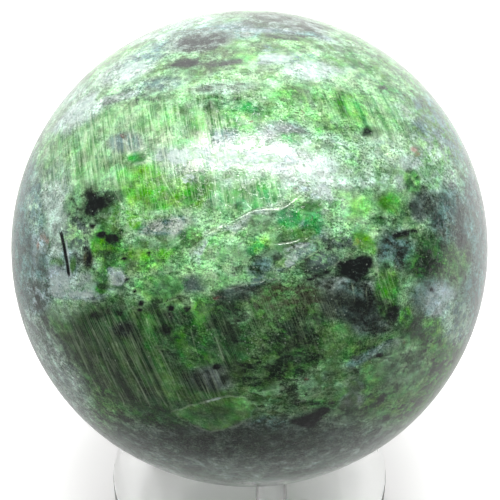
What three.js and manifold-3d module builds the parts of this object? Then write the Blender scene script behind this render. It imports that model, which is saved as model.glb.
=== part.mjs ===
// A polished ball of chrome diopside rock, resting on a clear stand of three pegs in a round plate.
// Millimetres, +Z up. The origin is the centre of the stand's underside, and -Y faces the viewer.

import * as THREE from 'three';
import { mergeVertices } from 'three/addons/utils/BufferGeometryUtils.js';
import Module from 'manifold-3d';

// Stone
const BALL_RADIUS = 30;
const BALL_SUBDIVISIONS = 15;

// Pegs
const PEG_RADIUS = 2.1;
const PEG_CIRCLE_RADIUS = 13;
const PEG_EXPOSED_HEIGHT = 17.5;
const PEG_TOP_ROUNDING = 0.5;
const PEG_BOTTOM_CHAMFER = 0.3;
const PEG_NAMES = ['stand_peg_front', 'stand_peg_right', 'stand_peg_left'];
const FRONT_PEG_TURN = THREE.MathUtils.degToRad(13);

// Plate
const PLATE_RADIUS = 19.5;
const PLATE_THICKNESS = 5;
const PLATE_EDGE_ROUNDING = 0.8;
const SOCKET_DEPTH = 3.5;
const SOCKET_GAP = 0.25;

// Facets
const PEG_SIDES = 32;
const PLATE_SIDES = 96;
const ROUNDING_STEPS = 4;
const MERGE_DISTANCE = 1e-5;

// Worked out from the values above
const PEG_TOP_HEIGHT = PLATE_THICKNESS + PEG_EXPOSED_HEIGHT;
const SOCKET_FLOOR_HEIGHT = PLATE_THICKNESS - SOCKET_DEPTH;
const PEG_FOOT_HEIGHT = SOCKET_FLOOR_HEIGHT + SOCKET_GAP;
const CONTACT_CIRCLE_RADIUS = PEG_CIRCLE_RADIUS - PEG_RADIUS + PEG_TOP_ROUNDING;
const BALL_CENTRE_HEIGHT = PEG_TOP_HEIGHT - PEG_TOP_ROUNDING
  + Math.sqrt((BALL_RADIUS + PEG_TOP_ROUNDING) ** 2 - CONTACT_CIRCLE_RADIUS ** 2);

const STONE_FINISH = new THREE.MeshStandardMaterial({ color: 0x5f8f56, roughness: 0.12, metalness: 0 });
const CLEAR_FINISH = new THREE.MeshStandardMaterial({
  color: 0xf2f6f6,
  roughness: 0.03,
  metalness: 0,
  transparent: true,
  opacity: 0.3,
});

const library = await Module();
library.setup();

// Points of a quarter circle in a lathe's profile, from one angle to another about a centre.
function arcPoints(centreX, centreY, radius, startAngle, endAngle) {
  const points = [];
  for (let step = 0; step <= ROUNDING_STEPS; step += 1) {
    const angle = startAngle + (endAngle - startAngle) * (step / ROUNDING_STEPS);
    points.push(new THREE.Vector2(
      centreX + radius * Math.cos(angle),
      centreY + radius * Math.sin(angle),
    ));
  }
  return points;
}

// Turns a profile about +Z. Its first and last points are on the axis.
function turned(profile, sides) {
  const geometry = new THREE.LatheGeometry(profile, sides);
  geometry.rotateX(Math.PI / 2);
  return geometry;
}

// A closed solid of a geometry, with its shared vertices merged.
function toSolid(geometry) {
  const bare = geometry.clone();
  bare.deleteAttribute('normal');
  bare.deleteAttribute('uv');
  const merged = mergeVertices(bare, MERGE_DISTANCE);
  const mesh = new library.Mesh({
    numProp: 3,
    vertProperties: merged.attributes.position.array,
    triVerts: new Uint32Array(merged.index.array),
  });
  return new library.Manifold(mesh);
}

// The geometry of a solid, with one normal a face.
function toGeometry(solid) {
  const mesh = solid.getMesh();
  const geometry = new THREE.BufferGeometry();
  geometry.setAttribute('position', new THREE.BufferAttribute(mesh.vertProperties, 3));
  geometry.setIndex(new THREE.BufferAttribute(mesh.triVerts, 1));
  geometry.computeVertexNormals();
  return geometry;
}

// Where a peg stands: the first is a little to the right of the front, the others a third of a turn on.
function pegPlace(index) {
  const angle = -Math.PI / 2 + FRONT_PEG_TURN + index * (2 * Math.PI / PEG_NAMES.length);
  return new THREE.Vector3(
    PEG_CIRCLE_RADIUS * Math.cos(angle),
    PEG_CIRCLE_RADIUS * Math.sin(angle),
    0,
  );
}

// The ball, which touches the rounded inner edge of each peg's top.
function makeBall() {
  const ball = new THREE.Mesh(new THREE.IcosahedronGeometry(BALL_RADIUS, BALL_SUBDIVISIONS), STONE_FINISH);
  ball.name = 'diopside_sphere';
  ball.position.z = BALL_CENTRE_HEIGHT;
  return ball;
}

// One round peg with a rounded top edge and a small chamfer at its foot.
function makePeg(name, index) {
  const flatRadius = PEG_RADIUS - PEG_TOP_ROUNDING;
  const roundingHeight = PEG_TOP_HEIGHT - PEG_TOP_ROUNDING;
  const profile = [
    new THREE.Vector2(0, PEG_FOOT_HEIGHT),
    new THREE.Vector2(PEG_RADIUS - PEG_BOTTOM_CHAMFER, PEG_FOOT_HEIGHT),
    new THREE.Vector2(PEG_RADIUS, PEG_FOOT_HEIGHT + PEG_BOTTOM_CHAMFER),
    ...arcPoints(flatRadius, roundingHeight, PEG_TOP_ROUNDING, 0, Math.PI / 2),
    new THREE.Vector2(0, PEG_TOP_HEIGHT),
  ];
  const peg = new THREE.Mesh(toGeometry(toSolid(turned(profile, PEG_SIDES))), CLEAR_FINISH);
  peg.name = name;
  peg.position.copy(pegPlace(index));
  return peg;
}

// The plate, with rounded edges and a blind socket for each peg.
function makePlate() {
  const flatRadius = PLATE_RADIUS - PLATE_EDGE_ROUNDING;
  const profile = [
    new THREE.Vector2(0, 0),
    ...arcPoints(flatRadius, PLATE_EDGE_ROUNDING, PLATE_EDGE_ROUNDING, -Math.PI / 2, 0),
    ...arcPoints(flatRadius, PLATE_THICKNESS - PLATE_EDGE_ROUNDING, PLATE_EDGE_ROUNDING, 0, Math.PI / 2),
    new THREE.Vector2(0, PLATE_THICKNESS),
  ];
  const socketHeight = 2 * SOCKET_DEPTH;
  let solid = toSolid(turned(profile, PLATE_SIDES));
  PEG_NAMES.forEach((name, index) => {
    const socket = new THREE.CylinderGeometry(
      PEG_RADIUS + SOCKET_GAP,
      PEG_RADIUS + SOCKET_GAP,
      socketHeight,
      PEG_SIDES,
    );
    const place = pegPlace(index);
    socket.rotateX(Math.PI / 2);
    socket.translate(place.x, place.y, SOCKET_FLOOR_HEIGHT + socketHeight / 2);
    solid = solid.subtract(toSolid(socket));
  });
  const plate = new THREE.Mesh(toGeometry(solid), CLEAR_FINISH);
  plate.name = 'stand_base';
  return plate;
}

const stand = new THREE.Group();
stand.add(makePlate());
PEG_NAMES.forEach((name, index) => stand.add(makePeg(name, index)));

const part = new THREE.Group();
part.add(stand);
part.add(makeBall());

export default part;
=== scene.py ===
"""A polished ball of chrome diopside rock on its clear stand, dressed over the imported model.

Metres, +Z up. The origin is the centre of the stand's underside, and -Y faces the photograph's viewer.
"""

import logging
import math
from collections.abc import Iterable
from dataclasses import dataclass
from enum import Enum

import bpy
import numpy as np
from mathutils import Matrix, Vector


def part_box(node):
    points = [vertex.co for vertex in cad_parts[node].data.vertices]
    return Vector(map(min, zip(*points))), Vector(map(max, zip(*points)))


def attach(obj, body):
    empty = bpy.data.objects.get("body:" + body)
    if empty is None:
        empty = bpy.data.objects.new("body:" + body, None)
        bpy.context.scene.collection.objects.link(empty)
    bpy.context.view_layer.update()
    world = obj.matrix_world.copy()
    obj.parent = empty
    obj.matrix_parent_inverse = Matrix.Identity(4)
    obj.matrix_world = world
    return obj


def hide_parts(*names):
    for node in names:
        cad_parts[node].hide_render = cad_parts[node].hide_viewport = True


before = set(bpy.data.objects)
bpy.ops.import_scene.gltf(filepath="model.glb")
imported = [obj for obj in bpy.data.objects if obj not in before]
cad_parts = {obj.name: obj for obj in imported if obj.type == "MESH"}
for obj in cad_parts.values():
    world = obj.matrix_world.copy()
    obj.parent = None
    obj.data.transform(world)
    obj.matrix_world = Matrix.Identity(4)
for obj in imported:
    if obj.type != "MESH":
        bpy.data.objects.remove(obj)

LOG = logging.getLogger("diopside_ball")
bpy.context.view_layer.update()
ROOT_BODY = "root"
MILLIMETRE = 0.001
BALL_RADIUS = 30.0 * MILLIMETRE
SHARP_ANGLE = math.radians(35.0)
PHOTO_SIDE = 500
SENSOR_WIDTH_MM = 36.0


@dataclass(frozen=True)
class PhotoView:
    """The photograph's camera, about the ball's centre.

    Attributes:
        ball_centre: The ball's centre in metres.
        ball_radius: The ball's radius in metres.
        elevation: How far above the horizon the camera looks from, in degrees.
        distance: From the camera to the ball's centre, in metres.
        silhouette_radius: The ball's outline in the photograph, in pixels.
        centre_x: Where the ball's centre falls, in pixels from the left.
        centre_y: Where the ball's centre falls, in pixels from the top.
    """

    ball_centre: Vector
    ball_radius: float
    elevation: float = 46.0
    distance: float = 0.250
    silhouette_radius: float = 238.5
    centre_x: float = 249.5
    centre_y: float = 248.5

    @property
    def right(self) -> Vector:
        """The direction of the photograph's right."""
        return Vector((1.0, 0.0, 0.0))

    @property
    def up(self) -> Vector:
        """The direction of the photograph's top."""
        angle = math.radians(self.elevation)
        return Vector((0.0, math.sin(angle), math.cos(angle)))

    @property
    def towards(self) -> Vector:
        """The direction from the ball to the camera."""
        angle = math.radians(self.elevation)
        return Vector((0.0, -math.cos(angle), math.sin(angle)))

    @property
    def focal(self) -> float:
        """The focal length in pixels."""
        return self.silhouette_radius / math.tan(math.asin(self.ball_radius / self.distance))

    def project(self, points: np.ndarray) -> tuple[np.ndarray, np.ndarray, np.ndarray]:
        """Where points of the ball fall in the photograph.

        Args:
            points: Unit vectors from the ball's centre, one a row.

        Returns:
            Pixels from the left, pixels from the top, and the cosine between each point's normal and the
            line to the camera, which is negative on the side that the camera can't see.
        """
        scaled = points * self.ball_radius
        across = scaled @ np.array(self.right)
        upward = scaled @ np.array(self.up)
        depth = self.distance - scaled @ np.array(self.towards)
        facing = (points @ np.array(self.towards) * self.distance - self.ball_radius)
        facing /= np.linalg.norm(np.array(self.towards) * self.distance - scaled, axis=1)
        x = self.centre_x + self.focal * across / depth
        y = self.centre_y - self.focal * upward / depth
        return x, y, facing

    def make_camera(self) -> bpy.types.Object:
        """Makes the camera and makes it the scene's own.

        Returns:
            The camera.
        """
        data = bpy.data.cameras.new("photo_camera")
        data.sensor_width = SENSOR_WIDTH_MM
        data.lens = self.focal * SENSOR_WIDTH_MM / PHOTO_SIDE
        data.clip_start = 0.005
        data.clip_end = 20.0
        camera = bpy.data.objects.new("photo_camera", data)
        bpy.context.scene.collection.objects.link(camera)
        metres_a_pixel = self.distance / self.focal
        middle = PHOTO_SIDE / 2
        target = (
            self.ball_centre
            + self.right * (middle - self.centre_x) * metres_a_pixel
            - self.up * (middle - self.centre_y) * metres_a_pixel
        )
        place = target + self.towards * self.distance
        turn = (place - target).to_track_quat("Z", "Y").to_matrix().to_4x4()
        camera.matrix_world = Matrix.Translation(place) @ turn
        bpy.context.scene.camera = camera
        return camera


class Graph:
    """Adds nodes to a tree and joins them, one line a node."""

    def __init__(self, tree: bpy.types.NodeTree) -> None:
        """Keeps the node tree to add to."""
        self.tree = tree

    def node(self, kind: str, inputs: dict[str | int, object] | None = None,
             **settings: object) -> bpy.types.Node:
        """Adds a node.

        Args:
            kind: The node's type.
            inputs: Its inputs' values by name or number.
            **settings: Its properties.

        Returns:
            The node.
        """
        node = self.tree.nodes.new(kind)
        for name, value in settings.items():
            setattr(node, name, value)
        self.fill(node, inputs or {})
        return node

    def fill(self, node: bpy.types.Node, inputs: dict[str | int, object]) -> None:
        """Joins or sets several inputs of a node, by name or number."""
        for name, value in inputs.items():
            self.put(node.inputs[name], value)

    def put(self, socket: bpy.types.NodeSocket, value: object) -> None:
        """Joins a socket to another one, or sets its value.

        Args:
            socket: The input.
            value: An output socket, a number, a row of numbers or a material.
        """
        if isinstance(value, bpy.types.NodeSocket):
            self.tree.links.new(value, socket)
        elif socket.type == "RGBA" and len(value) == 3:
            socket.default_value = (*value, 1.0)
        else:
            socket.default_value = value

    def math(self, operation: str, first: object, second: object = 0.0, third: object = 0.0,
             clamp: bool = False) -> bpy.types.NodeSocket:
        """Adds a Math node.

        Args:
            operation: Its operation.
            first: Its first value.
            second: Its second value.
            third: Its third value.
            clamp: Whether the result is kept from 0 to 1.

        Returns:
            The result.
        """
        node = self.node("ShaderNodeMath", operation=operation, use_clamp=clamp)
        for socket, value in zip(node.inputs, (first, second, third)):
            self.put(socket, value)
        return node.outputs[0]

    def vector(self, operation: str, first: object, second: object = (0.0, 0.0, 0.0)) -> bpy.types.NodeSocket:
        """Adds a Vector Math node.

        Args:
            operation: Its operation.
            first: Its first vector.
            second: Its second vector, or the scale for SCALE.

        Returns:
            The result.
        """
        node = self.node("ShaderNodeVectorMath", operation=operation)
        self.put(node.inputs[0], first)
        self.put(node.inputs["Scale"] if operation == "SCALE" else node.inputs[1], second)
        return node.outputs["Value" if operation in ("LENGTH", "DISTANCE") else "Vector"]

    def ramp(self, value: object, start: float, end: float, low: float = 0.0, high: float = 1.0,
             smooth: bool = True) -> bpy.types.NodeSocket:
        """Maps a range of values to another, with soft ends.

        Args:
            value: The value to map.
            start: Where the range starts.
            end: Where the range ends.
            low: The result at the start.
            high: The result at the end.
            smooth: Whether the ends are soft.

        Returns:
            The result.
        """
        node = self.node("ShaderNodeMapRange", interpolation_type="SMOOTHSTEP" if smooth else "LINEAR")
        for socket, number in zip(node.inputs, (value, start, end, low, high)):
            self.put(socket, number)
        return node.outputs[0]

    def mix(self, factor: object, first: object, second: object, blend: str = "MIX") -> bpy.types.NodeSocket:
        """Mixes two colours.

        Args:
            factor: How much of the second.
            first: The first colour.
            second: The second colour.
            blend: How they mix.

        Returns:
            The colour.
        """
        node = self.node("ShaderNodeMix", data_type="RGBA", blend_type=blend, clamp_factor=True)
        self.fill(node, {0: factor, 6: first, 7: second})
        return node.outputs[2]

    def noise(self, place: object, scale: float, detail: float = 3.0, roughness: float = 0.55,
              seed: float = 0.0, lacunarity: float = 2.0, distortion: float = 0.0) -> bpy.types.NodeSocket:
        """Adds a noise.

        Args:
            place: The coordinates.
            scale: Its scale.
            detail: Its number of octaves.
            roughness: How strong each finer octave is.
            seed: Which noise of its kind.
            lacunarity: How much finer each octave is.
            distortion: How much it is warped.

        Returns:
            The noise's value.
        """
        values = {"Vector": place, "W": seed, "Scale": scale, "Detail": detail, "Roughness": roughness,
                  "Lacunarity": lacunarity, "Distortion": distortion}
        return self.node("ShaderNodeTexNoise", values, noise_dimensions="4D").outputs["Fac"]

    def attribute(self, name: str) -> bpy.types.NodeSocket:
        """Reads a mesh attribute by its name."""
        return self.node("ShaderNodeAttribute", attribute_name=name).outputs["Fac"]

    def times(self, first: object, second: object) -> bpy.types.NodeSocket:
        """Multiplies two values."""
        return self.math("MULTIPLY", first, second)

    def scaled(self, value: object, factor: object, start: object) -> bpy.types.NodeSocket:
        """Multiplies a value by a factor and adds where it starts."""
        return self.math("MULTIPLY_ADD", value, factor, start)

    def squares(self, first: object, second: object) -> bpy.types.NodeSocket:
        """Adds up the squares of two values."""
        return self.scaled(first, first, self.times(second, second))


def new_material(name: str) -> tuple[bpy.types.Material, Graph, bpy.types.Node]:
    """Makes a material with a Principled shader.

    Args:
        name: The material's name.

    Returns:
        The material, its graph and its Principled node.
    """
    material = bpy.data.materials.new(name)
    material.use_nodes = True
    return material, Graph(material.node_tree), material.node_tree.nodes["Principled BSDF"]


@dataclass(frozen=True)
class Glow:
    """A soft-edged lit patch overhead, by its angles from the zenith in degrees.

    Attributes:
        strength: Its radiance.
        right: How far right of the zenith its middle is.
        back: How far behind the zenith its middle is.
        half_width: Half its angle from left to right.
        half_depth: Half its angle from front to back.
        lean: How far its line comes to the front, in degrees a degree to the right.
        bow: How far its ends come to the front, in radians a radian squared.
        end_power: How square its ends are, 2 for an oval's.
    """

    strength: float
    right: float
    back: float
    half_width: float
    half_depth: float
    lean: float = 0.0
    bow: float = 0.0
    end_power: float = 2.4

    def radiance(self, graph: Graph, across: object, along: object) -> bpy.types.NodeSocket:
        """The patch's radiance in a direction.

        Args:
            graph: The world's graph.
            across: The direction's angle to the right, in radians.
            along: Its angle to the back.

        Returns:
            The radiance.
        """
        along = graph.scaled(across, self.lean, along)
        along = graph.scaled(graph.times(across, across), self.bow, along)
        across = graph.math("SUBTRACT", across, math.radians(self.right))
        along = graph.math("SUBTRACT", along, math.radians(self.back))
        across = graph.math("ABSOLUTE", graph.math("DIVIDE", across, math.radians(self.half_width)))
        along = graph.math("ABSOLUTE", graph.math("DIVIDE", along, math.radians(self.half_depth)))
        reach = graph.scaled(along, along, graph.math("POWER", across, self.end_power))
        return graph.times(graph.ramp(reach, 1.0, 0.0), self.strength)


@dataclass(frozen=True)
class Studio:
    """The light that the photograph shows mirrored in the ball.

    A long soft lamp hangs overhead, a lit backdrop stands behind, and the room at the viewer's side is dark.

    Attributes:
        lamps: The lit patches overhead.
        backdrop_low: The backdrop's radiance at its foot and sides.
        backdrop_high: How much brighter it is at the middle of its top.
        backdrop_half_width: Half the backdrop's angle from left to right, in degrees.
        backdrop_half_height: Half its height, in degrees.
        backdrop_azimuth: Its middle, in degrees to the right of straight behind.
        backdrop_elevation: Its middle's height, in degrees.
        backdrop_tilt: How much its top leans, in degrees of height a degree of azimuth.
        bright_elevation: The height of its brightest part, in degrees.
        bright_reach: How far the brightest part reaches, in degrees.
        rim_inside: Where the backdrop's soft rim starts, as a share of its half sizes squared.
        rim_outside: Where it ends.
        room_strength: The dark room's radiance.
        mirrored: How much brighter a lamp is where the ball mirrors it, as the photograph overexposes it.
        white: What the camera sees behind everything.
    """

    lamps: tuple[Glow, ...] = (
        Glow(15.7, 0.5, 0.2, 47.0, 8.7, 0.10, 0.17),
        Glow(8.0, 5.0, 5.2, 12.5, 8.5),
    )
    backdrop_low: float = 1.3
    backdrop_high: float = 1.9
    backdrop_half_width: float = 46.0
    backdrop_half_height: float = 47.0
    backdrop_azimuth: float = 2.0
    backdrop_elevation: float = 5.0
    backdrop_tilt: float = 0.12
    bright_elevation: float = 50.0
    bright_reach: float = 24.0
    rim_inside: float = 0.93
    rim_outside: float = 1.08
    room_strength: float = 0.12
    mirrored: float = 0.22
    white: float = 1.0

    def light(self) -> bpy.types.World:
        """Makes the world's light.

        Returns:
            The world.
        """
        world = bpy.data.worlds.new("studio")
        bpy.context.scene.world = world
        world.use_nodes = True
        graph = Graph(world.node_tree)
        direction = graph.node("ShaderNodeTexCoord").outputs["Generated"]
        right, back, up = graph.node("ShaderNodeSeparateXYZ", {0: direction}).outputs
        strength = graph.math("ADD", self._backdrop(graph, right, back, up), self.room_strength)
        across = graph.math("ARCTAN2", right, up)
        along = graph.math("ARCTAN2", back, up)
        rays = graph.node("ShaderNodeLightPath")
        share = graph.scaled(rays.outputs["Is Glossy Ray"], self.mirrored, 1.0)
        for lamp in self.lamps:
            strength = graph.scaled(lamp.radiance(graph, across, along), share, strength)
        straight = graph.math("SUBTRACT", rays.outputs["Is Transmission Ray"], rays.outputs["Diffuse Depth"],
                              clamp=True)
        seen = graph.math("MAXIMUM", rays.outputs["Is Camera Ray"], straight)
        unseen = graph.times(strength, graph.math("SUBTRACT", 1.0, seen))
        strength = graph.scaled(seen, self.white, unseen)
        graph.fill(world.node_tree.nodes["Background"], {"Color": (1.0, 1.0, 1.0), "Strength": strength})
        return world

    def _backdrop(self, graph: Graph, right: object, back: object, up: object) -> bpy.types.NodeSocket:
        """The backdrop's radiance in a direction.

        Args:
            graph: The world's graph.
            right: The direction's part to the right.
            back: Its part to the back.
            up: Its part upwards.

        Returns:
            The radiance.
        """
        azimuth = graph.math("ARCTAN2", right, back)
        azimuth = graph.math("SUBTRACT", azimuth, math.radians(self.backdrop_azimuth))
        height = graph.math("ARCSINE", up)
        elevation = graph.scaled(azimuth, self.backdrop_tilt, height)
        elevation = graph.math("SUBTRACT", elevation, math.radians(self.backdrop_elevation))
        across = graph.math("DIVIDE", azimuth, math.radians(self.backdrop_half_width))
        upward = graph.math("DIVIDE", elevation, math.radians(self.backdrop_half_height))
        reach = graph.squares(across, upward)
        middle = graph.math("SUBTRACT", height, math.radians(self.bright_elevation))
        middle = graph.math("SQRT", graph.squares(middle, azimuth))
        bright = graph.ramp(middle, math.radians(2 * self.bright_reach), 0.0, self.backdrop_low,
                            self.backdrop_low + self.backdrop_high)
        return graph.times(graph.ramp(reach, self.rim_outside, self.rim_inside), bright)


@dataclass(frozen=True)
class Floor:
    """The white surface that the stand is on, with painted light and a painted soft shadow round the stand.

    Attributes:
        front: How far it reaches to the front, in metres.
        back: How far it reaches to the back.
        left: How far it reaches to the left.
        right: How far it reaches to the right.
        drop: How far it lies below the stand, so that the two don't flicker.
        corners: How many corners its outline has.
        squareness: How round its outline is, 1 for an oval and less for a squarer one.
        reflectance: How white it is.
        mirrored_middle: How bright the ball mirrors it at the origin, as a share; this share is a painted
            pool of the lamp's light.
        mirrored_back: How much that share grows a metre to the back.
        mirrored_right: How much that share grows a metre to the right.
        mirrored_least: The least of that share.
        mirrored_under: How much larger it is under the ball, painted light in the ball's reflection of the
            floor.
        under_start: Where that part starts, in metres from the origin.
        under_end: Where it ends.
        exposed: How much brighter than in the mirrored light the camera has it, being overexposed.
        exposed_in_painted_shadow: The same just outside the plate, where the ball's soft shadow is.
        glow: Painted light that it gives of itself, which stands for light that the clear stand spreads.
        spread: How much more of that light the camera has, away from the ball's darkest shadow.
        spread_start: Where that light starts, in metres from the origin.
        spread_end: Where it is full.
        plate_edge: How far the plate's edge is from the origin.
        gathered_start: Where the painted light that gathers under the plate's edge starts.
        gathered: How much of it there is.
        gathered_right: How much more of it there is a metre to the right.
        shadow_end: Where the ball's painted soft shadow ends.
        peg_foot: Where the front peg stands.
        peg_light: Painted light at the front peg's foot, which stands for light that the peg gathers.
        peg_reach: How far that light reaches.
    """

    front: float = 0.090
    back: float = 0.400
    left: float = 0.260
    right: float = 0.340
    drop: float = 0.0002
    corners: int = 96
    squareness: float = 0.7
    reflectance: float = 0.8
    mirrored_middle: float = 0.45
    mirrored_back: float = 4.4
    mirrored_right: float = 1.8
    mirrored_least: float = 0.15
    mirrored_under: float = 0.45
    under_start: float = 0.015
    under_end: float = 0.05
    exposed: float = 0.40
    exposed_in_painted_shadow: float = -0.15
    glow: float = 0.10
    spread: float = 0.28
    spread_start: float = 0.006
    spread_end: float = 0.018
    plate_edge: float = 0.0195
    gathered_start: float = 0.0145
    gathered: float = 0.17
    gathered_right: float = 3.6
    shadow_end: float = 0.040
    peg_foot: tuple[float, float, float] = (0.0029, -0.0127, 0.0)
    peg_light: float = 0.9
    peg_reach: float = 0.006

    def make(self) -> bpy.types.Object:
        """Makes the floor.

        Returns:
            The floor.
        """
        middle = Vector(((self.right - self.left) / 2, (self.back - self.front) / 2))
        half = Vector(((self.right + self.left) / 2, (self.back + self.front) / 2))
        corners = []
        for step in range(self.corners):
            angle = 2 * math.pi * step / self.corners
            x = math.copysign(abs(math.cos(angle)) ** self.squareness, math.cos(angle))
            y = math.copysign(abs(math.sin(angle)) ** self.squareness, math.sin(angle))
            corners.append((middle.x + half.x * x, middle.y + half.y * y, -self.drop))
        mesh = bpy.data.meshes.new("floor")
        mesh.from_pydata(corners, [], [list(range(self.corners))])
        floor = bpy.data.objects.new("floor", mesh)
        bpy.context.scene.collection.objects.link(floor)
        material, graph, shader = new_material("white_floor_painted_light_and_shadow")
        here = graph.node("ShaderNodeTexCoord").outputs["Object"]
        place = graph.node("ShaderNodeSeparateXYZ", {0: here})
        # Painted light: as the ball mirrors it, the floor is brighter to the back, to the right and under the
        # ball, a pool of the lamp's light.
        share = graph.scaled(place.outputs["Y"], self.mirrored_back, self.mirrored_middle)
        share = graph.scaled(place.outputs["X"], self.mirrored_right, share)
        reach = graph.vector("LENGTH", here)
        under = graph.ramp(reach, self.under_end, self.under_start)
        share = graph.scaled(under, self.mirrored_under, share)
        share = graph.ramp(share, self.mirrored_least, 1.0, self.mirrored_least, 1.0, smooth=False)
        rays = graph.node("ShaderNodeLightPath")
        shade = graph.scaled(rays.outputs["Is Glossy Ray"], graph.math("SUBTRACT", share, 1.0), 1.0)
        direct = graph.math("MAXIMUM", rays.outputs["Is Camera Ray"], rays.outputs["Is Transmission Ray"])
        # Painted shadow: just outside the plate the camera sees the floor darker, as the ball's soft shadow,
        # fading out by shadow_end.
        covered = graph.math("LESS_THAN", reach, self.plate_edge)
        unshaded = graph.math("MAXIMUM", covered, graph.ramp(reach, self.plate_edge, self.shadow_end))
        exposed = graph.scaled(unshaded, self.exposed - self.exposed_in_painted_shadow, self.exposed_in_painted_shadow)
        shade = graph.scaled(direct, exposed, shade)
        shade = graph.times(shade, self.reflectance)
        white = graph.node("ShaderNodeCombineColor", {0: shade, 1: shade, 2: shade})
        # Painted light: the floor glows under the clear stand, more away from the middle of the ball's
        # shadow, under the plate's edge and at the front peg's foot.
        spread = graph.times(direct, graph.ramp(reach, self.spread_start, self.spread_end))
        light = graph.scaled(spread, self.spread, self.glow)
        gathered = graph.scaled(place.outputs["X"], self.gathered_right, self.gathered)
        edge = graph.times(graph.ramp(reach, self.gathered_start, self.plate_edge), direct)
        edge = graph.times(edge, covered)
        light = graph.scaled(edge, gathered, light)
        from_peg = graph.ramp(graph.vector("DISTANCE", here, self.peg_foot), self.peg_reach, 0.0)
        graph.fill(shader, {"Base Color": white.outputs[0], "Roughness": 0.9, "Specular IOR Level": 0.1,
                            "Emission Color": (1.0, 0.98, 0.97),
                            "Emission Strength": graph.scaled(from_peg, self.peg_light, light)})
        mesh.materials.append(material)
        return floor


class Tone(Enum):
    """The stone's colours, as linear red, green and blue."""

    MILK = (0.50, 0.66, 0.58)
    FROST = (0.40, 0.62, 0.46)
    ICE = (0.46, 0.62, 0.64)
    STRAW = (0.50, 0.70, 0.45)
    SPRING = (0.36, 0.74, 0.34)
    APPLE = (0.26, 0.64, 0.20)
    MINT = (0.33, 0.60, 0.31)
    SAGE = (0.23, 0.46, 0.23)
    LIME = (0.20, 0.57, 0.10)
    GRASS = (0.12, 0.41, 0.05)
    CLOVER = (0.06, 0.24, 0.04)
    EMERALD = (0.05, 0.30, 0.09)
    JADE = (0.08, 0.40, 0.11)
    OLIVE = (0.11, 0.27, 0.08)
    MOSS = (0.05, 0.16, 0.05)
    FOREST = (0.03, 0.10, 0.03)
    PINE = (0.014, 0.040, 0.016)
    CHAR = (0.006, 0.009, 0.008)
    SOOT = (0.030, 0.045, 0.038)
    BARK = (0.045, 0.050, 0.025)
    SLATE = (0.09, 0.14, 0.12)
    LEAD = (0.08, 0.12, 0.09)
    FERN = (0.08, 0.17, 0.06)
    MOULD = (0.03, 0.06, 0.03)
    STEEL = (0.15, 0.28, 0.26)
    ASH = (0.28, 0.36, 0.33)
    LILAC = (0.42, 0.53, 0.55)
    MAUVE = (0.38, 0.45, 0.39)
    ROSE = (0.56, 0.34, 0.27)
    AMBER = (0.62, 0.40, 0.03)


# Each tone under its own name, in the order of the list above
(MILK, FROST, ICE, STRAW, SPRING, APPLE, MINT, SAGE, LIME, GRASS, CLOVER, EMERALD, JADE, OLIVE, MOSS,
 FOREST, PINE, CHAR, SOOT, BARK, SLATE, LEAD, FERN, MOULD, STEEL, ASH, LILAC, MAUVE, ROSE, AMBER) = Tone


class Layer(Enum):
    """What a spot adds to, each a number at every point of the ball."""

    CHAR = "char"
    MILK = "milk_and_highlight"
    RUST = "rust"
    SPECKLE = "speckle"
    STEEP_FIBRE = "steep_fibre"
    LEANING_FIBRE = "leaning_fibre"
    RIGHT_FIBRE = "right_fibre"


def soft_step(values: np.ndarray) -> np.ndarray:
    """Keeps values from 0 to 1 and softens both ends."""
    values = np.clip(values, 0.0, 1.0)
    return values * values * (3.0 - 2.0 * values)


@dataclass(frozen=True)
class Oval:
    """An oval on the photograph.

    Attributes:
        x: Its middle, in pixels from the left.
        y: Its middle, in pixels from the top.
        half_width: Half its width in pixels.
        half_height: Half its height in pixels.
        turn: How far its right end is turned up, in degrees.
        softness: The width of its edge, as a share of its radius.
    """

    x: float
    y: float
    half_width: float
    half_height: float
    turn: float = 0.0
    softness: float = 0.8

    def cover(self, x: np.ndarray, y: np.ndarray) -> np.ndarray:
        """How much of it lies at each point, a half at its edge.

        Args:
            x: The points' pixels from the left.
            y: The points' pixels from the top.

        Returns:
            From 0 outside to 1 inside.
        """
        angle = math.radians(self.turn)
        across = (x - self.x) * math.cos(angle) - (y - self.y) * math.sin(angle)
        upward = (x - self.x) * math.sin(angle) + (y - self.y) * math.cos(angle)
        reach = np.hypot(across / self.half_width, upward / self.half_height)
        return soft_step((1.0 - reach) / self.softness + 0.5)


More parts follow.
